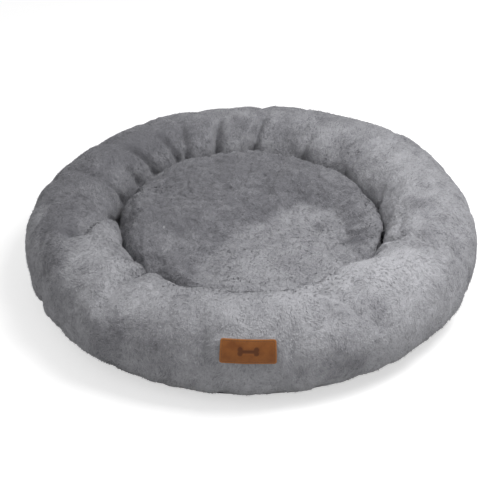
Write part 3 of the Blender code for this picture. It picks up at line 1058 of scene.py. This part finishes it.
for name, rear, right in (("front_left", False, False), ("front_right", False, True),
                          ("rear_left", True, False), ("rear_right", True, True)):
    pile = grown("ring_pile_" + name, ground_of(ring_ground, rear, right), RING_TUFTS,
                 (TUFT_WIDTH, TUFT_THICKNESS, TUFT_LENGTH), TUFT_LIFT, RING_STRAY,
                 RING_SEED + 2 * rear + right)
    pile.data.materials.clear()
    pile.data.materials.append(ring_plush)
    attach(pile, "bed")


# ---- stuffed ring: its filling ----
# Loose siliconised polyester fibre, blown in through the zip. It fills the cover and follows its
# folds, a little way inside the cloth.
FILL_INSET = 0.0048


def fibre_finish(name):
    """Loose polyester fibre: white wisps, with painted shade in the hollows between them."""
    made, tree, shader = finish_of(name)
    wisps = pattern(tree, "TexNoise", {"Scale": 120.0, "Detail": 6.0, "Roughness": 0.7,
                                       "Distortion": 2.5})
    # Painted shade: the fibre is darker where its wisps sink into hollows.
    ramp = ramped(tree, wisps, (0.62, 0.62, 0.61), (0.92, 0.92, 0.91))
    coloured(tree, shader, ramp.outputs["Color"])
    embossed(tree, shader, wisps, 0.8, 0.002)
    shader.inputs["Roughness"].default_value = 1.0
    shader.inputs["Sheen Weight"].default_value = 0.2
    return made


def ring_stuffing():
    """The skin of the cover, drawn in and closed along the base."""
    bm = bmesh.new()
    bm.from_mesh(ring_backing)
    bm.normal_update()
    for vert in bm.verts:
        vert.co -= vert.normal * (FILL_INSET + 0.0006 * noise.noise(vert.co * 60))
    bmesh.ops.bridge_loops(bm, edges=[e for e in bm.edges if e.is_boundary])
    bmesh.ops.recalc_face_normals(bm, faces=bm.faces)
    return mesh_of("ring_stuffing", bm)


fibre = fibre_finish("fibre")
stuffing = put("ring_stuffing", ring_stuffing(), fibre)
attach(stuffing, "bed")
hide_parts("bolster_filling")


# ---- cushion: its two covers ----
# A loose round cushion that fills the well: plush on top, smooth cloth below, sewn together at
# half height round a cord. Its stuffing has moved to the edge, so the middle has sunk.
CUSHION_TURNS = 192
CUSHION_CLOTH = 0.0026
CUSHION_SLACK = 0.0024
CUSHION_SWELL = 0.0060
CUSHION_PRESSURE = 6.0
CUSHION_SPARE = 0.02
CUSHION_ROUND = 0.0320
CUSHION_SQUARE = 2 / 3.0
FOOT_ROUND = 0.0300
BESIDE_RING = 0.0012      # how far its sides stay off the ring
PIPING = 0.0017
DISH_DEPTH = 0.0230
DISH_SLOPE = 0.044
DISH_FRONT = -0.095       # in front of this its pile lies as on the floor of the dish
FOOT_ROWS = 14            # rows across its underside, and as many round its lower edge
SEAM_ROW = 2 * FOOT_ROWS
EDGE_ROWS = 17            # rows round its upper edge
TOP_ROWS = 30             # rows across its top
EASED_MIDDLE = 0.042      # the middle of its top, where the threads come together
EASED_REACH = 0.140       # a thread inside this is smoothed if it has folded over
EASED_TIMES = 60
RAISED_TURN = radians(150)
RAISED = 0.0085           # how much higher its edge stands behind than in front

# The floor of its sunken middle, as overlapping rounds: centre and reach in each direction.
DISH = (
    ((0.045, -0.074), (0.090, 0.070)),
    ((0.078, -0.010), (0.050, 0.056)),
    ((-0.035, -0.104), (0.042, 0.034)),
)

cushion_low, cushion_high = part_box("cushion_bottom_cover")[0].z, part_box("cushion_top_cover")[1].z
cushion_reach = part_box("cushion_top_cover")[1].x - BESIDE_RING
seam_z = (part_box("cushion_piping")[0].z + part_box("cushion_piping")[1].z) / 2

# Short creases in its top, as start, end, depth and half width, in metres.
CREASES = (
    ((0.086, 0.002), (0.118, -0.006), 0.0040, 0.0035),
    ((0.126, -0.012), (0.160, -0.034), 0.0080, 0.0050),
    ((0.118, -0.030), (0.150, -0.052), 0.0070, 0.0045),
    ((0.112, -0.070), (0.134, -0.082), 0.0060, 0.0050),
    ((0.060, -0.138), (0.078, -0.150), 0.0060, 0.0060),
    ((-0.090, -0.060), (-0.130, -0.088), 0.0035, 0.0050),
    ((-0.030, 0.052), (0.022, 0.058), 0.0025, 0.0050),
    ((-0.118, 0.060), (-0.150, 0.074), 0.0040, 0.0050),
    ((0.040, 0.120), (0.052, 0.160), 0.0040, 0.0050),
    ((-0.052, 0.126), (-0.060, 0.158), 0.0040, 0.0050),
)


def beyond_dish(x, y):
    """How far outside the floor of the dish a place lies, in metres, below zero on the floor."""
    nearest = min((hypot((x - cx) / rx, (y - cy) / ry) - 1) * min(rx, ry)
                  for (cx, cy), (rx, ry) in DISH)
    return nearest + 0.010 * noise.noise(Vector((x * 22, y * 22, 4.0)))


def sunk(x, y):
    """How far into the dish a place on the cushion lies: 0 on its rim, 1 on the floor."""
    share = max(0.0, min(1.0, 1 - beyond_dish(x, y) / DISH_SLOPE))
    return share * (0.4 + 0.6 * share)


def cushion_outline():
    """Radius and height from the middle of the underside, round the edge, to the middle of the top."""
    low = cushion_low + CUSHION_SLACK
    high = cushion_high - CUSHION_SLACK
    reach = cushion_reach - CUSHION_SLACK
    flat = reach - FOOT_ROUND
    points = [(flat * k / FOOT_ROWS, low) for k in range(FOOT_ROWS + 1)]
    for k in range(1, FOOT_ROWS + 1):
        a = radians(-90 + 90 * k / FOOT_ROWS)
        points.append((flat + FOOT_ROUND * cos(a), seam_z + (seam_z - low) * sin(a)))
    rim = reach - CUSHION_ROUND
    for k in range(1, EDGE_ROWS + 1):
        a = radians(90 * k / EDGE_ROWS)
        points.append((rim + CUSHION_ROUND * power(cos(a), CUSHION_SQUARE),
                       seam_z + (high - seam_z) * power(sin(a), CUSHION_SQUARE)))
    return points + [(rim * (1 - k / TOP_ROWS), high) for k in range(1, TOP_ROWS + 1)]


def crease_depth(x, y):
    """How deep the creases draw the cushion's top in, and whether a place lies on one."""
    drawn, held = 0.0, False
    for (x0, y0), (x1, y1), depth, width in CREASES:
        dx, dy = x1 - x0, y1 - y0
        part = max(0.0, min(1.0, ((x - x0) * dx + (y - y0) * dy) / (dx * dx + dy * dy)))
        gap = hypot(x - x0 - dx * part, y - y0 - dy * part)
        if gap < 4 * width:
            drawn = max(drawn, depth * exp(-(gap / width) ** 2))
            held = held or gap < 0.5 * width
    return drawn, held


def cushion_body():
    """The whole cushion, closed, before it is stuffed; each point keeps its row."""
    bm = bmesh.new()
    rows = bm.verts.layers.float.new("row")
    points = []
    for k, (r, z) in enumerate(cushion_outline()):
        points.append(bm.verts.new((r, 0.0, z)))
        points[-1][rows] = k
    for first, second in zip(points, points[1:]):
        bm.edges.new((first, second))
    turned(bm, CUSHION_TURNS)
    sewn = []
    bm.verts.index_update()
    for vert in bm.verts:
        x, y, z = vert.co
        turn = atan2(y, x)
        if vert[rows] > SEAM_ROW:
            top = (z - seam_z) / (cushion_high - seam_z)
            drawn, held = crease_depth(x, y)
            raised = RAISED * (0.5 + 0.5 * cos(turn - RAISED_TURN)) * (1 - sunk(x, y))
            vert.co.z += (raised - DISH_DEPTH * sunk(x, y) - drawn) * top
            vert.co.z += 0.0030 * top * noise.noise(Vector((x * 16, y * 16, 1.0)))
            if held:
                sewn.append(vert.index)
        puckers = 0.0012 * sin(34 * turn + 3 * noise.noise(Vector((x * 9, y * 9, 0))))
        near_seam = exp(-((z - seam_z) / 0.010) ** 2)
        vert.co.x *= 1 + (puckers - 0.0025) * near_seam / cushion_reach
        vert.co.y *= 1 + (puckers - 0.0025) * near_seam / cushion_reach
        if abs(vert[rows] - SEAM_ROW) < 0.5 or z < cushion_low + CUSHION_SLACK + 0.0002:
            sewn.append(vert.index)
        if z < cushion_low + CUSHION_SLACK + 0.0002:
            vert.co.z = cushion_low + 0.0004
    return put("cushion_body", mesh_of("cushion_body", bm)), sewn


def eased(mesh):
    """Lets the cushion's top lie flat again in its middle and where a thread has folded over."""
    bm = bmesh.new()
    bm.from_mesh(mesh)
    bm.normal_update()
    top = [v for v in bm.verts if v.co.z > seam_z and hypot(v.co.x, v.co.y) < EASED_REACH]
    folded = {v for v in top if v.normal.z < 0.55}
    folded.update({e.other_vert(v) for v in folded for e in v.link_edges})
    loose = [v for v in top if v in folded or hypot(v.co.x, v.co.y) < EASED_MIDDLE]
    for _ in range(EASED_TIMES):
        bmesh.ops.smooth_vert(bm, verts=loose, factor=0.5, use_axis_x=True, use_axis_y=True,
                              use_axis_z=True)
    bm.to_mesh(mesh)
    bm.free()


def half_of(mesh, name, upper):
    """One of the two covers: the part of the cushion's skin on this side of its seam."""
    bm = bmesh.new()
    bm.from_mesh(mesh)
    rows = bm.verts.layers.float["row"]
    away = [f for f in bm.faces
            if (sum(v[rows] for v in f.verts) / len(f.verts) > SEAM_ROW) != upper]
    bmesh.ops.delete(bm, geom=away, context="FACES")
    for vert in bm.verts:
        if vert.is_boundary:
            vert.co.z += (PIPING + GAP) * (1 if upper else -1)
    return mesh_of(name, bm)


# Places where its pile was brushed over: centre, reach, and how much lighter.
BRUSHED_ON_CUSHION = (
    ((0.142, -0.036), 0.016, -0.16),
    ((0.010, -0.110), 0.032, 0.15),
    ((-0.100, -0.075), 0.030, 0.12),
)


def cushion_nap_and_painted_light(place):
    """How light the cushion's pile lies: pale and smooth in the dish, dark on the rim behind, with painted
    light lighter on the right and a painted highlight on its outer edge.
    """
    x, y = place.x, place.y
    beyond = beyond_dish(x, max(y, DISH_FRONT))
    floor = max(0.0, min(1.0, 0.5 - beyond / 0.012))
    # The x term is painted light, lighter towards the right as the lamps light it; the floor term is the
    # pile lying smooth in the dish.
    tone = 0.10 + 0.06 * x / cushion_reach + 0.31 * floor
    # Painted highlight: lighter along the outer edge of its top, where the light catches it.
    tone += 0.10 * max(0.0, min(1.0, (hypot(x, y) - 0.135) / 0.025))
    tone += 0.12 * noise.noise(place * 22) + 0.13 * noise.noise(place * 60)
    tone += 0.12 * noise.noise(place * 120)
    for (cx, cy), reach, lighter in BRUSHED_ON_CUSHION:
        tone += lighter * exp(-((x - cx) ** 2 + (y - cy) ** 2) / reach ** 2)
    return max(0.0, min(1.0, tone))


def raise_cushion_pile(piece):
    """Raises the curled clumps on the cushion's top and writes how its pile lies, painted light included.
    """
    mesh = piece.data
    nap_and_light_tones, flows, places, growth = [], [], [], []
    normals = [v.normal.copy() for v in mesh.vertices]
    for vert, lie in zip(mesh.vertices, normals):
        place = vert.co.copy()
        inside = sunk(place.x, place.y)
        swing = 3.0 * noise.noise(place * 9) + 2.4 * (1 - inside) * noise.noise(place * 45)
        flow = Vector((cos(swing), sin(swing), 0.0))
        flow = (flow - lie * flow.dot(lie)).normalized()
        curls = 0.0009 + 0.0016 * (1 - inside)
        vert.co += lie * curls * (noise.noise(place * 130) + 0.8 * noise.noise(place * 52))
        nap_and_light_tones.append(cushion_nap_and_painted_light(place))
        flows.append(flow)
        out = hypot(place.x, place.y) / cushion_reach
        around = atan2(place.y, place.x)
        span = 0.40 * (0.75 * min(1.0, out) + 0.25 * (1 - max(0.0, lie.z)))
        places.append(Vector((0.42 + span * cos(around), 0.42 + span * sin(around), 0.0)))
        growth.append(1.0 if place.z > seam_z + 0.006 else 0.0)
    write_pile(mesh, nap_and_light_tones, flows, places, growth)


cushion_plush = plush_finish("cushion_plush", (0.47, 0.47, 0.495), (0.17, 0.17, 0.185), 0.6)
cushion_cloth = knit_finish("cushion_cloth", (0.30, 0.30, 0.32))
body, sewn = cushion_body()
stuffed(body, sewn, CUSHION_PRESSURE, CUSHION_SWELL, CUSHION_SPARE)
eased(body.data)
cushion_backing = body.data.copy()
top_backing = half_of(cushion_backing, "top_backing", True)
bottom_backing = half_of(cushion_backing, "bottom_backing", False)
refined(body)
cushion_top = put("cushion_top", half_of(body.data, "cushion_top", True))
cushion_bottom = put("cushion_bottom", half_of(cushion_backing, "cushion_bottom", False))
raise_cushion_pile(cushion_top)
lay_out(cushion_top.data)
cushion_ground = cushion_top.data.copy()
walled(cushion_top, top_backing, CUSHION_CLOTH)
walled(cushion_bottom, bottom_backing, CUSHION_CLOTH * 0.4)
bpy.data.objects.remove(body)
for piece, made_of, cad, finish in (
        (cushion_top, cushion_plush, "cushion_top_cover", "plush"),
        (cushion_bottom, cushion_cloth, "cushion_bottom_cover", "lining")):
    piece.data.materials.append(made_of)
    piece.data.materials.append(plush_back)
    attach(piece, "cushion")
    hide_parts(cad)


# ---- cushion: its pile ----
# The same plush as the ring's, more curled: it has been lain on, and stands up only on the rim.
CUSHION_TUFTS = 170000    # tufts on each square metre of its top
CUSHION_TUFT_LENGTH = 0.0036
CUSHION_LIFT = 0.34
CUSHION_STRAY = 0.55
CUSHION_SEED = 31

cushion_pile = grown("cushion_pile", cushion_ground, CUSHION_TUFTS,
                     (TUFT_WIDTH, TUFT_THICKNESS, CUSHION_TUFT_LENGTH), CUSHION_LIFT,
                     CUSHION_STRAY, CUSHION_SEED)
cushion_pile.data.materials.clear()
cushion_pile.data.materials.append(cushion_plush)
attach(cushion_pile, "cushion")


# ---- cushion: its filling ----
# A pad of the same fibre, not sewn to anything, which takes the shape of its covers.
CUSHION_FILL_INSET = 0.0060


def cushion_stuffing():
    """The skin of the cushion, drawn in."""
    bm = bmesh.new()
    bm.from_mesh(cushion_backing)
    bm.normal_update()
    for vert in bm.verts:
        vert.co -= vert.normal * (CUSHION_FILL_INSET + 0.0005 * noise.noise(vert.co * 60))
    return mesh_of("cushion_stuffing", bm)


pad = put("cushion_stuffing", cushion_stuffing(), fibre)
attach(pad, "cushion")
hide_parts("cushion_filling")


# ---- cushion: the cord in its seam ----
# A thin cord in a bias strip of the same cloth, sewn between the two covers all round.
CORD_SIDES = 10
CORD_STEPS = 240

cord_radius = (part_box("cushion_piping")[1].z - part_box("cushion_piping")[0].z) / 2
cord_reach = cushion_reach - CUSHION_SLACK - 0.0012


def seam_cord():
    """The cord, a little uneven, with the twist of its strands showing through the cloth."""
    bm = bmesh.new()
    bmesh.ops.create_circle(bm, segments=CORD_SIDES, radius=cord_radius,
                            matrix=Matrix.Translation((cord_reach, 0, seam_z))
                            @ Matrix.Rotation(radians(90), 4, "X"))
    turned(bm, CORD_STEPS)
    for vert in bm.verts:
        twist = 0.00010 * sin(180 * atan2(vert.co.y, vert.co.x) + 900 * vert.co.z)
        radial = Vector((vert.co.x, vert.co.y, 0)).normalized()
        vert.co += radial * (twist + 0.0005 * noise.noise(vert.co * 25))
    return bm


cord = put("cushion_cord", mesh_of("cushion_cord", seam_cord()),
           woven_finish("piping_cloth", (0.25, 0.25, 0.27), 600.0))
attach(cord, "cushion")
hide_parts("cushion_piping")


# ---- leather patch ----
# A small plate of cognac leather with rounded corners, a bone pressed into it, sewn on the front
# of the ring all round with thread of its own colour.
PATCH_TILT = radians(-1.6)
PATCH_CORNER = 0.0032
PATCH_LEATHER = 0.0018
PATCH_GRID = (92, 40)
PATCH_OFF = 0.0006
RIM_ROUND = 0.0009
CHANNEL_INSET = 0.0024
CHANNEL_WIDTH = 0.0006
CHANNEL_DEPTH = 0.00025
BONE_LENGTH = 0.0190
BONE_WIDTH = 0.0036
BONE_KNOB = 0.0030
BONE_DEPTH = 0.00045


def to_edge(x, y, half_w, half_h, corner):
    """Distance inwards from the rounded outline of a plate."""
    dx = max(0.0, abs(x) - (half_w - corner))
    dy = max(0.0, abs(y) - (half_h - corner))
    if dx > 0 and dy > 0:
        return corner - hypot(dx, dy)
    return min(half_w - abs(x), half_h - abs(y))


def bone(x, y):
    """Distance from a place to the outline of the pressed bone, below zero inside it."""
    bar = max(abs(x) - BONE_LENGTH / 2, abs(y) - BONE_WIDTH / 2)
    knob = hypot(abs(x) - BONE_LENGTH / 2, abs(y) - BONE_WIDTH * 0.62) - BONE_KNOB
    return min(bar, knob)


def on_front(x, y, out):
    """A place on the patch, laid on the front of the ring with its slight tilt."""
    across = x * cos(PATCH_TILT) - y * sin(PATCH_TILT)
    up = x * sin(PATCH_TILT) + y * cos(PATCH_TILT)
    return on_ring(FRONT + across / section(TAG_LEAN)[0], lean_at(up), out)


LEAN_TABLE = [climb(TAG_LEAN, 0.001 * k) for k in range(-20, 21)]


def lean_at(up):
    """Angle of the section at a height on the patch, read between whole millimetres."""
    at = up * 1000 + 20
    low = max(0, min(39, int(at)))
    return LEAN_TABLE[low] + (LEAN_TABLE[low + 1] - LEAN_TABLE[low]) * (at - low)


def patch_back(x, y):
    """Height of the back of the patch above the ring: a little wavy, curled up at its ends."""
    wave = 0.0004 * noise.noise(Vector((x * 60, y * 40, 2.0)))
    curl = 0.0010 * (abs(x) / (TAG_SIZE[0] / 2)) ** 4
    curl += 0.0006 * max(0.0, y / (TAG_SIZE[1] / 2)) ** 3
    return PATCH_OFF + wave + curl


def patch():
    """The plate of leather, with its rounded edge, its pressed channel and its bone."""
    half_w, half_h = TAG_SIZE[0] / 2, TAG_SIZE[1] / 2
    bm = bmesh.new()
    pressed = bm.verts.layers.float.new("pressed")
    edge = bm.verts.layers.float.new("rim")
    bmesh.ops.create_grid(bm, x_segments=PATCH_GRID[0], y_segments=PATCH_GRID[1], size=0.5)
    bmesh.ops.scale(bm, verts=bm.verts, vec=(TAG_SIZE[0], TAG_SIZE[1], 1.0))
    for vert in bm.verts:
        x, y, _ = vert.co
        dx = max(0.0, abs(x) - (half_w - PATCH_CORNER))
        dy = max(0.0, abs(y) - (half_h - PATCH_CORNER))
        longest = max(dx, dy)
        if dx > 0 and dy > 0:
            shrink = longest / hypot(dx, dy)
            x = (abs(x) - dx + dx * shrink) * (1 if x > 0 else -1)
            y = (abs(y) - dy + dy * shrink) * (1 if y > 0 else -1)
            vert.co = (x, y, 0.0)
    under = bmesh.ops.extrude_face_region(bm, geom=bm.faces[:])
    top = {v for v in under["geom"] if isinstance(v, bmesh.types.BMVert)}
    for vert in bm.verts:
        x, y, _ = vert.co
        out = patch_back(x, y)
        if vert in top:
            inside = to_edge(x, y, half_w, half_h, PATCH_CORNER)
            out += PATCH_LEATHER
            out -= 0.0006 * max(0.0, 1 - inside / RIM_ROUND) ** 2
            groove = max(0.0, 1 - abs(inside - CHANNEL_INSET) / CHANNEL_WIDTH)
            out -= CHANNEL_DEPTH * groove
            into = max(0.0, min(1.0, 0.5 - bone(x, y) / 0.0007))
            out -= BONE_DEPTH * into
            vert[pressed] = max(into, 0.55 * groove)
            vert[edge] = max(0.0, 1 - inside / 0.0040)
        vert.co = on_front(x, y, out)
    bmesh.ops.recalc_face_normals(bm, faces=bm.faces)
    return bm


def leather_finish(name):
    """Waxed cognac leather: fine pores, paler where it bends and at the cut edge."""
    made, tree, shader = finish_of(name)
    own = step(tree, "TexCoord").outputs["Object"]
    pressed = step(tree, "Attribute", attribute_name="pressed").outputs["Fac"]
    rim = step(tree, "Attribute", attribute_name="rim").outputs["Fac"]
    pores = step(tree, "TexVoronoi", {"Vector": own, "Scale": 900.0})
    cloud = pattern(tree, "TexNoise", {"Scale": 90.0, "Detail": 4.0})
    ramp = ramped(tree, cloud, (0.185, 0.057, 0.012), (0.285, 0.100, 0.022))
    ramp.color_ramp.elements[0].position = 0.30
    ramp.color_ramp.elements[1].position = 0.72
    paler = step(tree, "Mix", {"Factor": product(tree, rim, 0.55), "A": ramp.outputs["Color"],
                               "B": (0.42, 0.17, 0.045, 1.0)}, data_type="RGBA")
    darker = step(tree, "Mix", {"Factor": product(tree, pressed, 0.75),
                                "A": paler.outputs["Result"],
                                "B": (0.085, 0.026, 0.008, 1.0)}, data_type="RGBA")
    coloured(tree, shader, darker.outputs["Result"])
    roughened(tree, shader, cloud, 0.42, 0.62)
    embossed(tree, shader, pores.outputs["Distance"], 0.35, 0.0003)
    shader.inputs["Specular IOR Level"].default_value = 0.35
    return made


leather_patch = put("leather_patch", mesh_of("leather_patch", patch()),
                    leather_finish("tan_leather"))
leather_patch.data.set_sharp_from_angle(angle=radians(50))
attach(leather_patch, "bed")
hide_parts("leather_tag")


# ---- leather patch: its stitches ----
# A lockstitch of waxed brown thread that runs in the pressed channel, through leather and plush.
STITCH_PITCH = 0.0034
STITCH_LENGTH = 0.0025
THREAD_RADIUS = 0.00030
STITCH_RISE = 0.0001


def channel(along):
    """A place along the rounded channel and its direction, from a length walked round it."""
    half_w = TAG_SIZE[0] / 2 - CHANNEL_INSET
    half_h = TAG_SIZE[1] / 2 - CHANNEL_INSET
    for length, start, way in ((2 * half_w, (-half_w, -half_h), (1, 0)),
                               (2 * half_h, (half_w, -half_h), (0, 1)),
                               (2 * half_w, (half_w, half_h), (-1, 0)),
                               (2 * half_h, (-half_w, half_h), (0, -1))):
        if along < length:
            return start[0] + way[0] * along, start[1] + way[1] * along, way
        along -= length
    return -half_w, -half_h, (1, 0)


def stitches():
    """The stitches, each a short slim grain of thread that lies just above the channel's floor."""
    around = 4 * (TAG_SIZE[0] / 2 + TAG_SIZE[1] / 2 - 2 * CHANNEL_INSET)
    count = int(around / STITCH_PITCH)
    bm = bmesh.new()
    for k in range(count):
        x, y, way = channel(around * (k + 0.5) / count)
        floor = patch_back(x, y) + PATCH_LEATHER - CHANNEL_DEPTH + STITCH_RISE
        made = bmesh.ops.create_uvsphere(bm, u_segments=8, v_segments=6, radius=1.0)["verts"]
        for vert in made:
            reach, side, rise = vert.co.z * STITCH_LENGTH / 2, vert.co.x * THREAD_RADIUS, vert.co.y
            vert.co = on_front(x + way[0] * reach - way[1] * side,
                               y + way[1] * reach + way[0] * side,
                               floor + rise * THREAD_RADIUS)
    bmesh.ops.recalc_face_normals(bm, faces=bm.faces)
    return bm


def thread_finish(name, colour):
    """Twisted waxed thread."""
    made, tree, shader = finish_of(name)
    twist = pattern(tree, "TexWave", {"Scale": 900.0, "Distortion": 1.0},
                    bands_direction="DIAGONAL")
    ramp = ramped(tree, twist, [c * 0.6 for c in colour], [c * 1.3 for c in colour])
    coloured(tree, shader, ramp.outputs["Color"])
    shader.inputs["Roughness"].default_value = 0.6
    return made


thread = put("patch_stitches", mesh_of("patch_stitches", stitches()),
             thread_finish("tag_thread", (0.17, 0.062, 0.018)))
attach(thread, "bed")
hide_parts("tag_stitching")


# ---- zip: its tapes, coils and metal ----
# A nylon coil zip in the back of the ring, through which the fibre is blown in. The coils are
# sewn to two tapes; a small cast slider with a plain pull closes them.
COIL_TURN = 0.0015
COIL_WIRE = 0.00032
COIL_POINTS = 8
COIL_WIDTH = 0.0020
COIL_HALF = 0.00075
ZIP_TAPE_CLOTH = 0.0007
TAPE_OUT = -PLUSH + GAP + ZIP_TAPE_CLOTH
COIL_MIDDLE = TAPE_OUT + GAP + COIL_HALF
ZIP_SPLIT = 0.0009
ZIP_HALF_ARC = radians(41.0)


def coil(side):
    """One nylon coil: a flattened spring along the edge of its tape."""
    length = 2 * ZIP_HALF_ARC * section(ZIP_LEAN)[0]
    turns = int(length / COIL_TURN)
    middle = ZIP_SPLIT + COIL_WIDTH / 2
    reach = COIL_WIDTH / 2 - COIL_WIRE
    leans = [climb(ZIP_LEAN, side * (middle + reach * cos(2 * pi * k / COIL_POINTS)))
             for k in range(COIL_POINTS)]
    curve = bpy.data.curves.new("coil", "CURVE")
    curve.dimensions = "3D"
    curve.bevel_depth = COIL_WIRE
    curve.bevel_resolution = 0
    curve.use_fill_caps = True
    spline = curve.splines.new("POLY")
    count = turns * COIL_POINTS
    spline.points.add(count - 1)
    for k in range(count):
        turn = REAR - ZIP_HALF_ARC + 2 * ZIP_HALF_ARC * k / (count - 1)
        out = COIL_MIDDLE + (COIL_HALF - COIL_WIRE) * sin(2 * pi * k / COIL_POINTS)
        spline.points[k].co = (*on_ring(turn, leans[k % COIL_POINTS], out), 1.0)
    holder = bpy.data.objects.new("coil", curve)
    scene.collection.objects.link(holder)
    graph = bpy.context.evaluated_depsgraph_get()
    mesh = bpy.data.meshes.new_from_object(holder.evaluated_get(graph))
    bpy.data.objects.remove(holder)
    return mesh


def nylon_finish(name, colour):
    """Drawn nylon: smooth, a little glossy, with lint in it."""
    made, tree, shader = finish_of(name)
    lint = pattern(tree, "TexNoise", {"Scale": 300.0, "Detail": 3.0})
    ramp = ramped(tree, lint, colour, [c * 2.2 for c in colour])
    coloured(tree, shader, ramp.outputs["Color"])
    roughened(tree, shader, lint, 0.3, 0.55)
    return made


def metal_finish(name):
    """Nickel-plated zinc, finely scratched."""
    made, tree, shader = finish_of(name)
    scratches = pattern(tree, "TexNoise", {"Scale": 700.0, "Detail": 5.0, "Roughness": 0.7})
    ramp = ramped(tree, scratches, (0.30, 0.30, 0.31), (0.62, 0.62, 0.63))
    coloured(tree, shader, ramp.outputs["Color"])
    roughened(tree, shader, scratches, 0.22, 0.5)
    embossed(tree, shader, scratches, 0.15, 0.0002)
    shader.inputs["Metallic"].default_value = 1.0
    return made


zip_weave = woven_finish("zip_tape", (0.15, 0.15, 0.16), 900.0)
zip_nylon = nylon_finish("zip_coil", (0.035, 0.035, 0.038))
zip_metal = metal_finish("zip_metal")
for name, side in (("upper", 1), ("lower", -1)):
    tape = dressed("zip_tape_" + name, zip_weave)
    spring = put("zip_spring_" + name, coil(side), zip_nylon)
    spring.data.shade_smooth()
    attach(spring, "bed")
    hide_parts("zip_coil_" + name)
for name in ("zip_stop_left", "zip_stop_right", "zip_slider", "zip_pull"):
    dressed(name, zip_metal)


# ---- care label ----
# A blank satin label, sewn by its lower edge into the seam at the back, its free edge a little
# curled away from the plush.
LABEL_SIZE = (0.032, 0.026)
LABEL_TURN = radians(36.0)
LABEL_LEAN = radians(-56.0)
LABEL_CLOTH = 0.0004
LABEL_GRID = (24, 20)
LABEL_OFF = 0.0032


def label():
    """The label, which stands off the plush more and more towards its free edge."""
    bm = bmesh.new()
    bmesh.ops.create_grid(bm, x_segments=LABEL_GRID[0], y_segments=LABEL_GRID[1], size=0.5)
    bmesh.ops.scale(bm, verts=bm.verts, vec=(LABEL_SIZE[0], LABEL_SIZE[1], 1.0))
    under = len(bm.verts)
    bmesh.ops.extrude_face_region(bm, geom=bm.faces[:])
    bm.verts.index_update()
    around = section(LABEL_LEAN)[0]
    leans = {}
    for vert in bm.verts:
        x, y, _ = vert.co
        row = round(y, 5)
        if row not in leans:
            leans[row] = climb(LABEL_LEAN, y)
        free = y / LABEL_SIZE[1] + 0.5
        out = LABEL_OFF * min(1.0, 0.25 + 2 * free) + 0.0030 * free ** 2
        out += 0.0006 * sin(x * 160 + 1) * free
        out += LABEL_CLOTH if vert.index >= under else 0.0
        vert.co = on_ring(LABEL_TURN + x / around, leans[row], out)
    bmesh.ops.recalc_face_normals(bm, faces=bm.faces)
    return bm


def satin_finish(name):
    """Woven satin: fine ribs across, with a soft gloss."""
    made, tree, shader = finish_of(name)
    ribs = pattern(tree, "TexWave", {"Scale": 1400.0, "Distortion": 0.3}, bands_direction="Z")
    ramp = ramped(tree, ribs, (0.70, 0.70, 0.68), (0.86, 0.86, 0.84))
    coloured(tree, shader, ramp.outputs["Color"])
    roughened(tree, shader, ribs, 0.35, 0.55)
    shader.inputs["Sheen Weight"].default_value = 0.3
    return made


care_label = put("satin_label", mesh_of("satin_label", label()), satin_finish("label_satin"))
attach(care_label, "bed")
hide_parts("care_label")
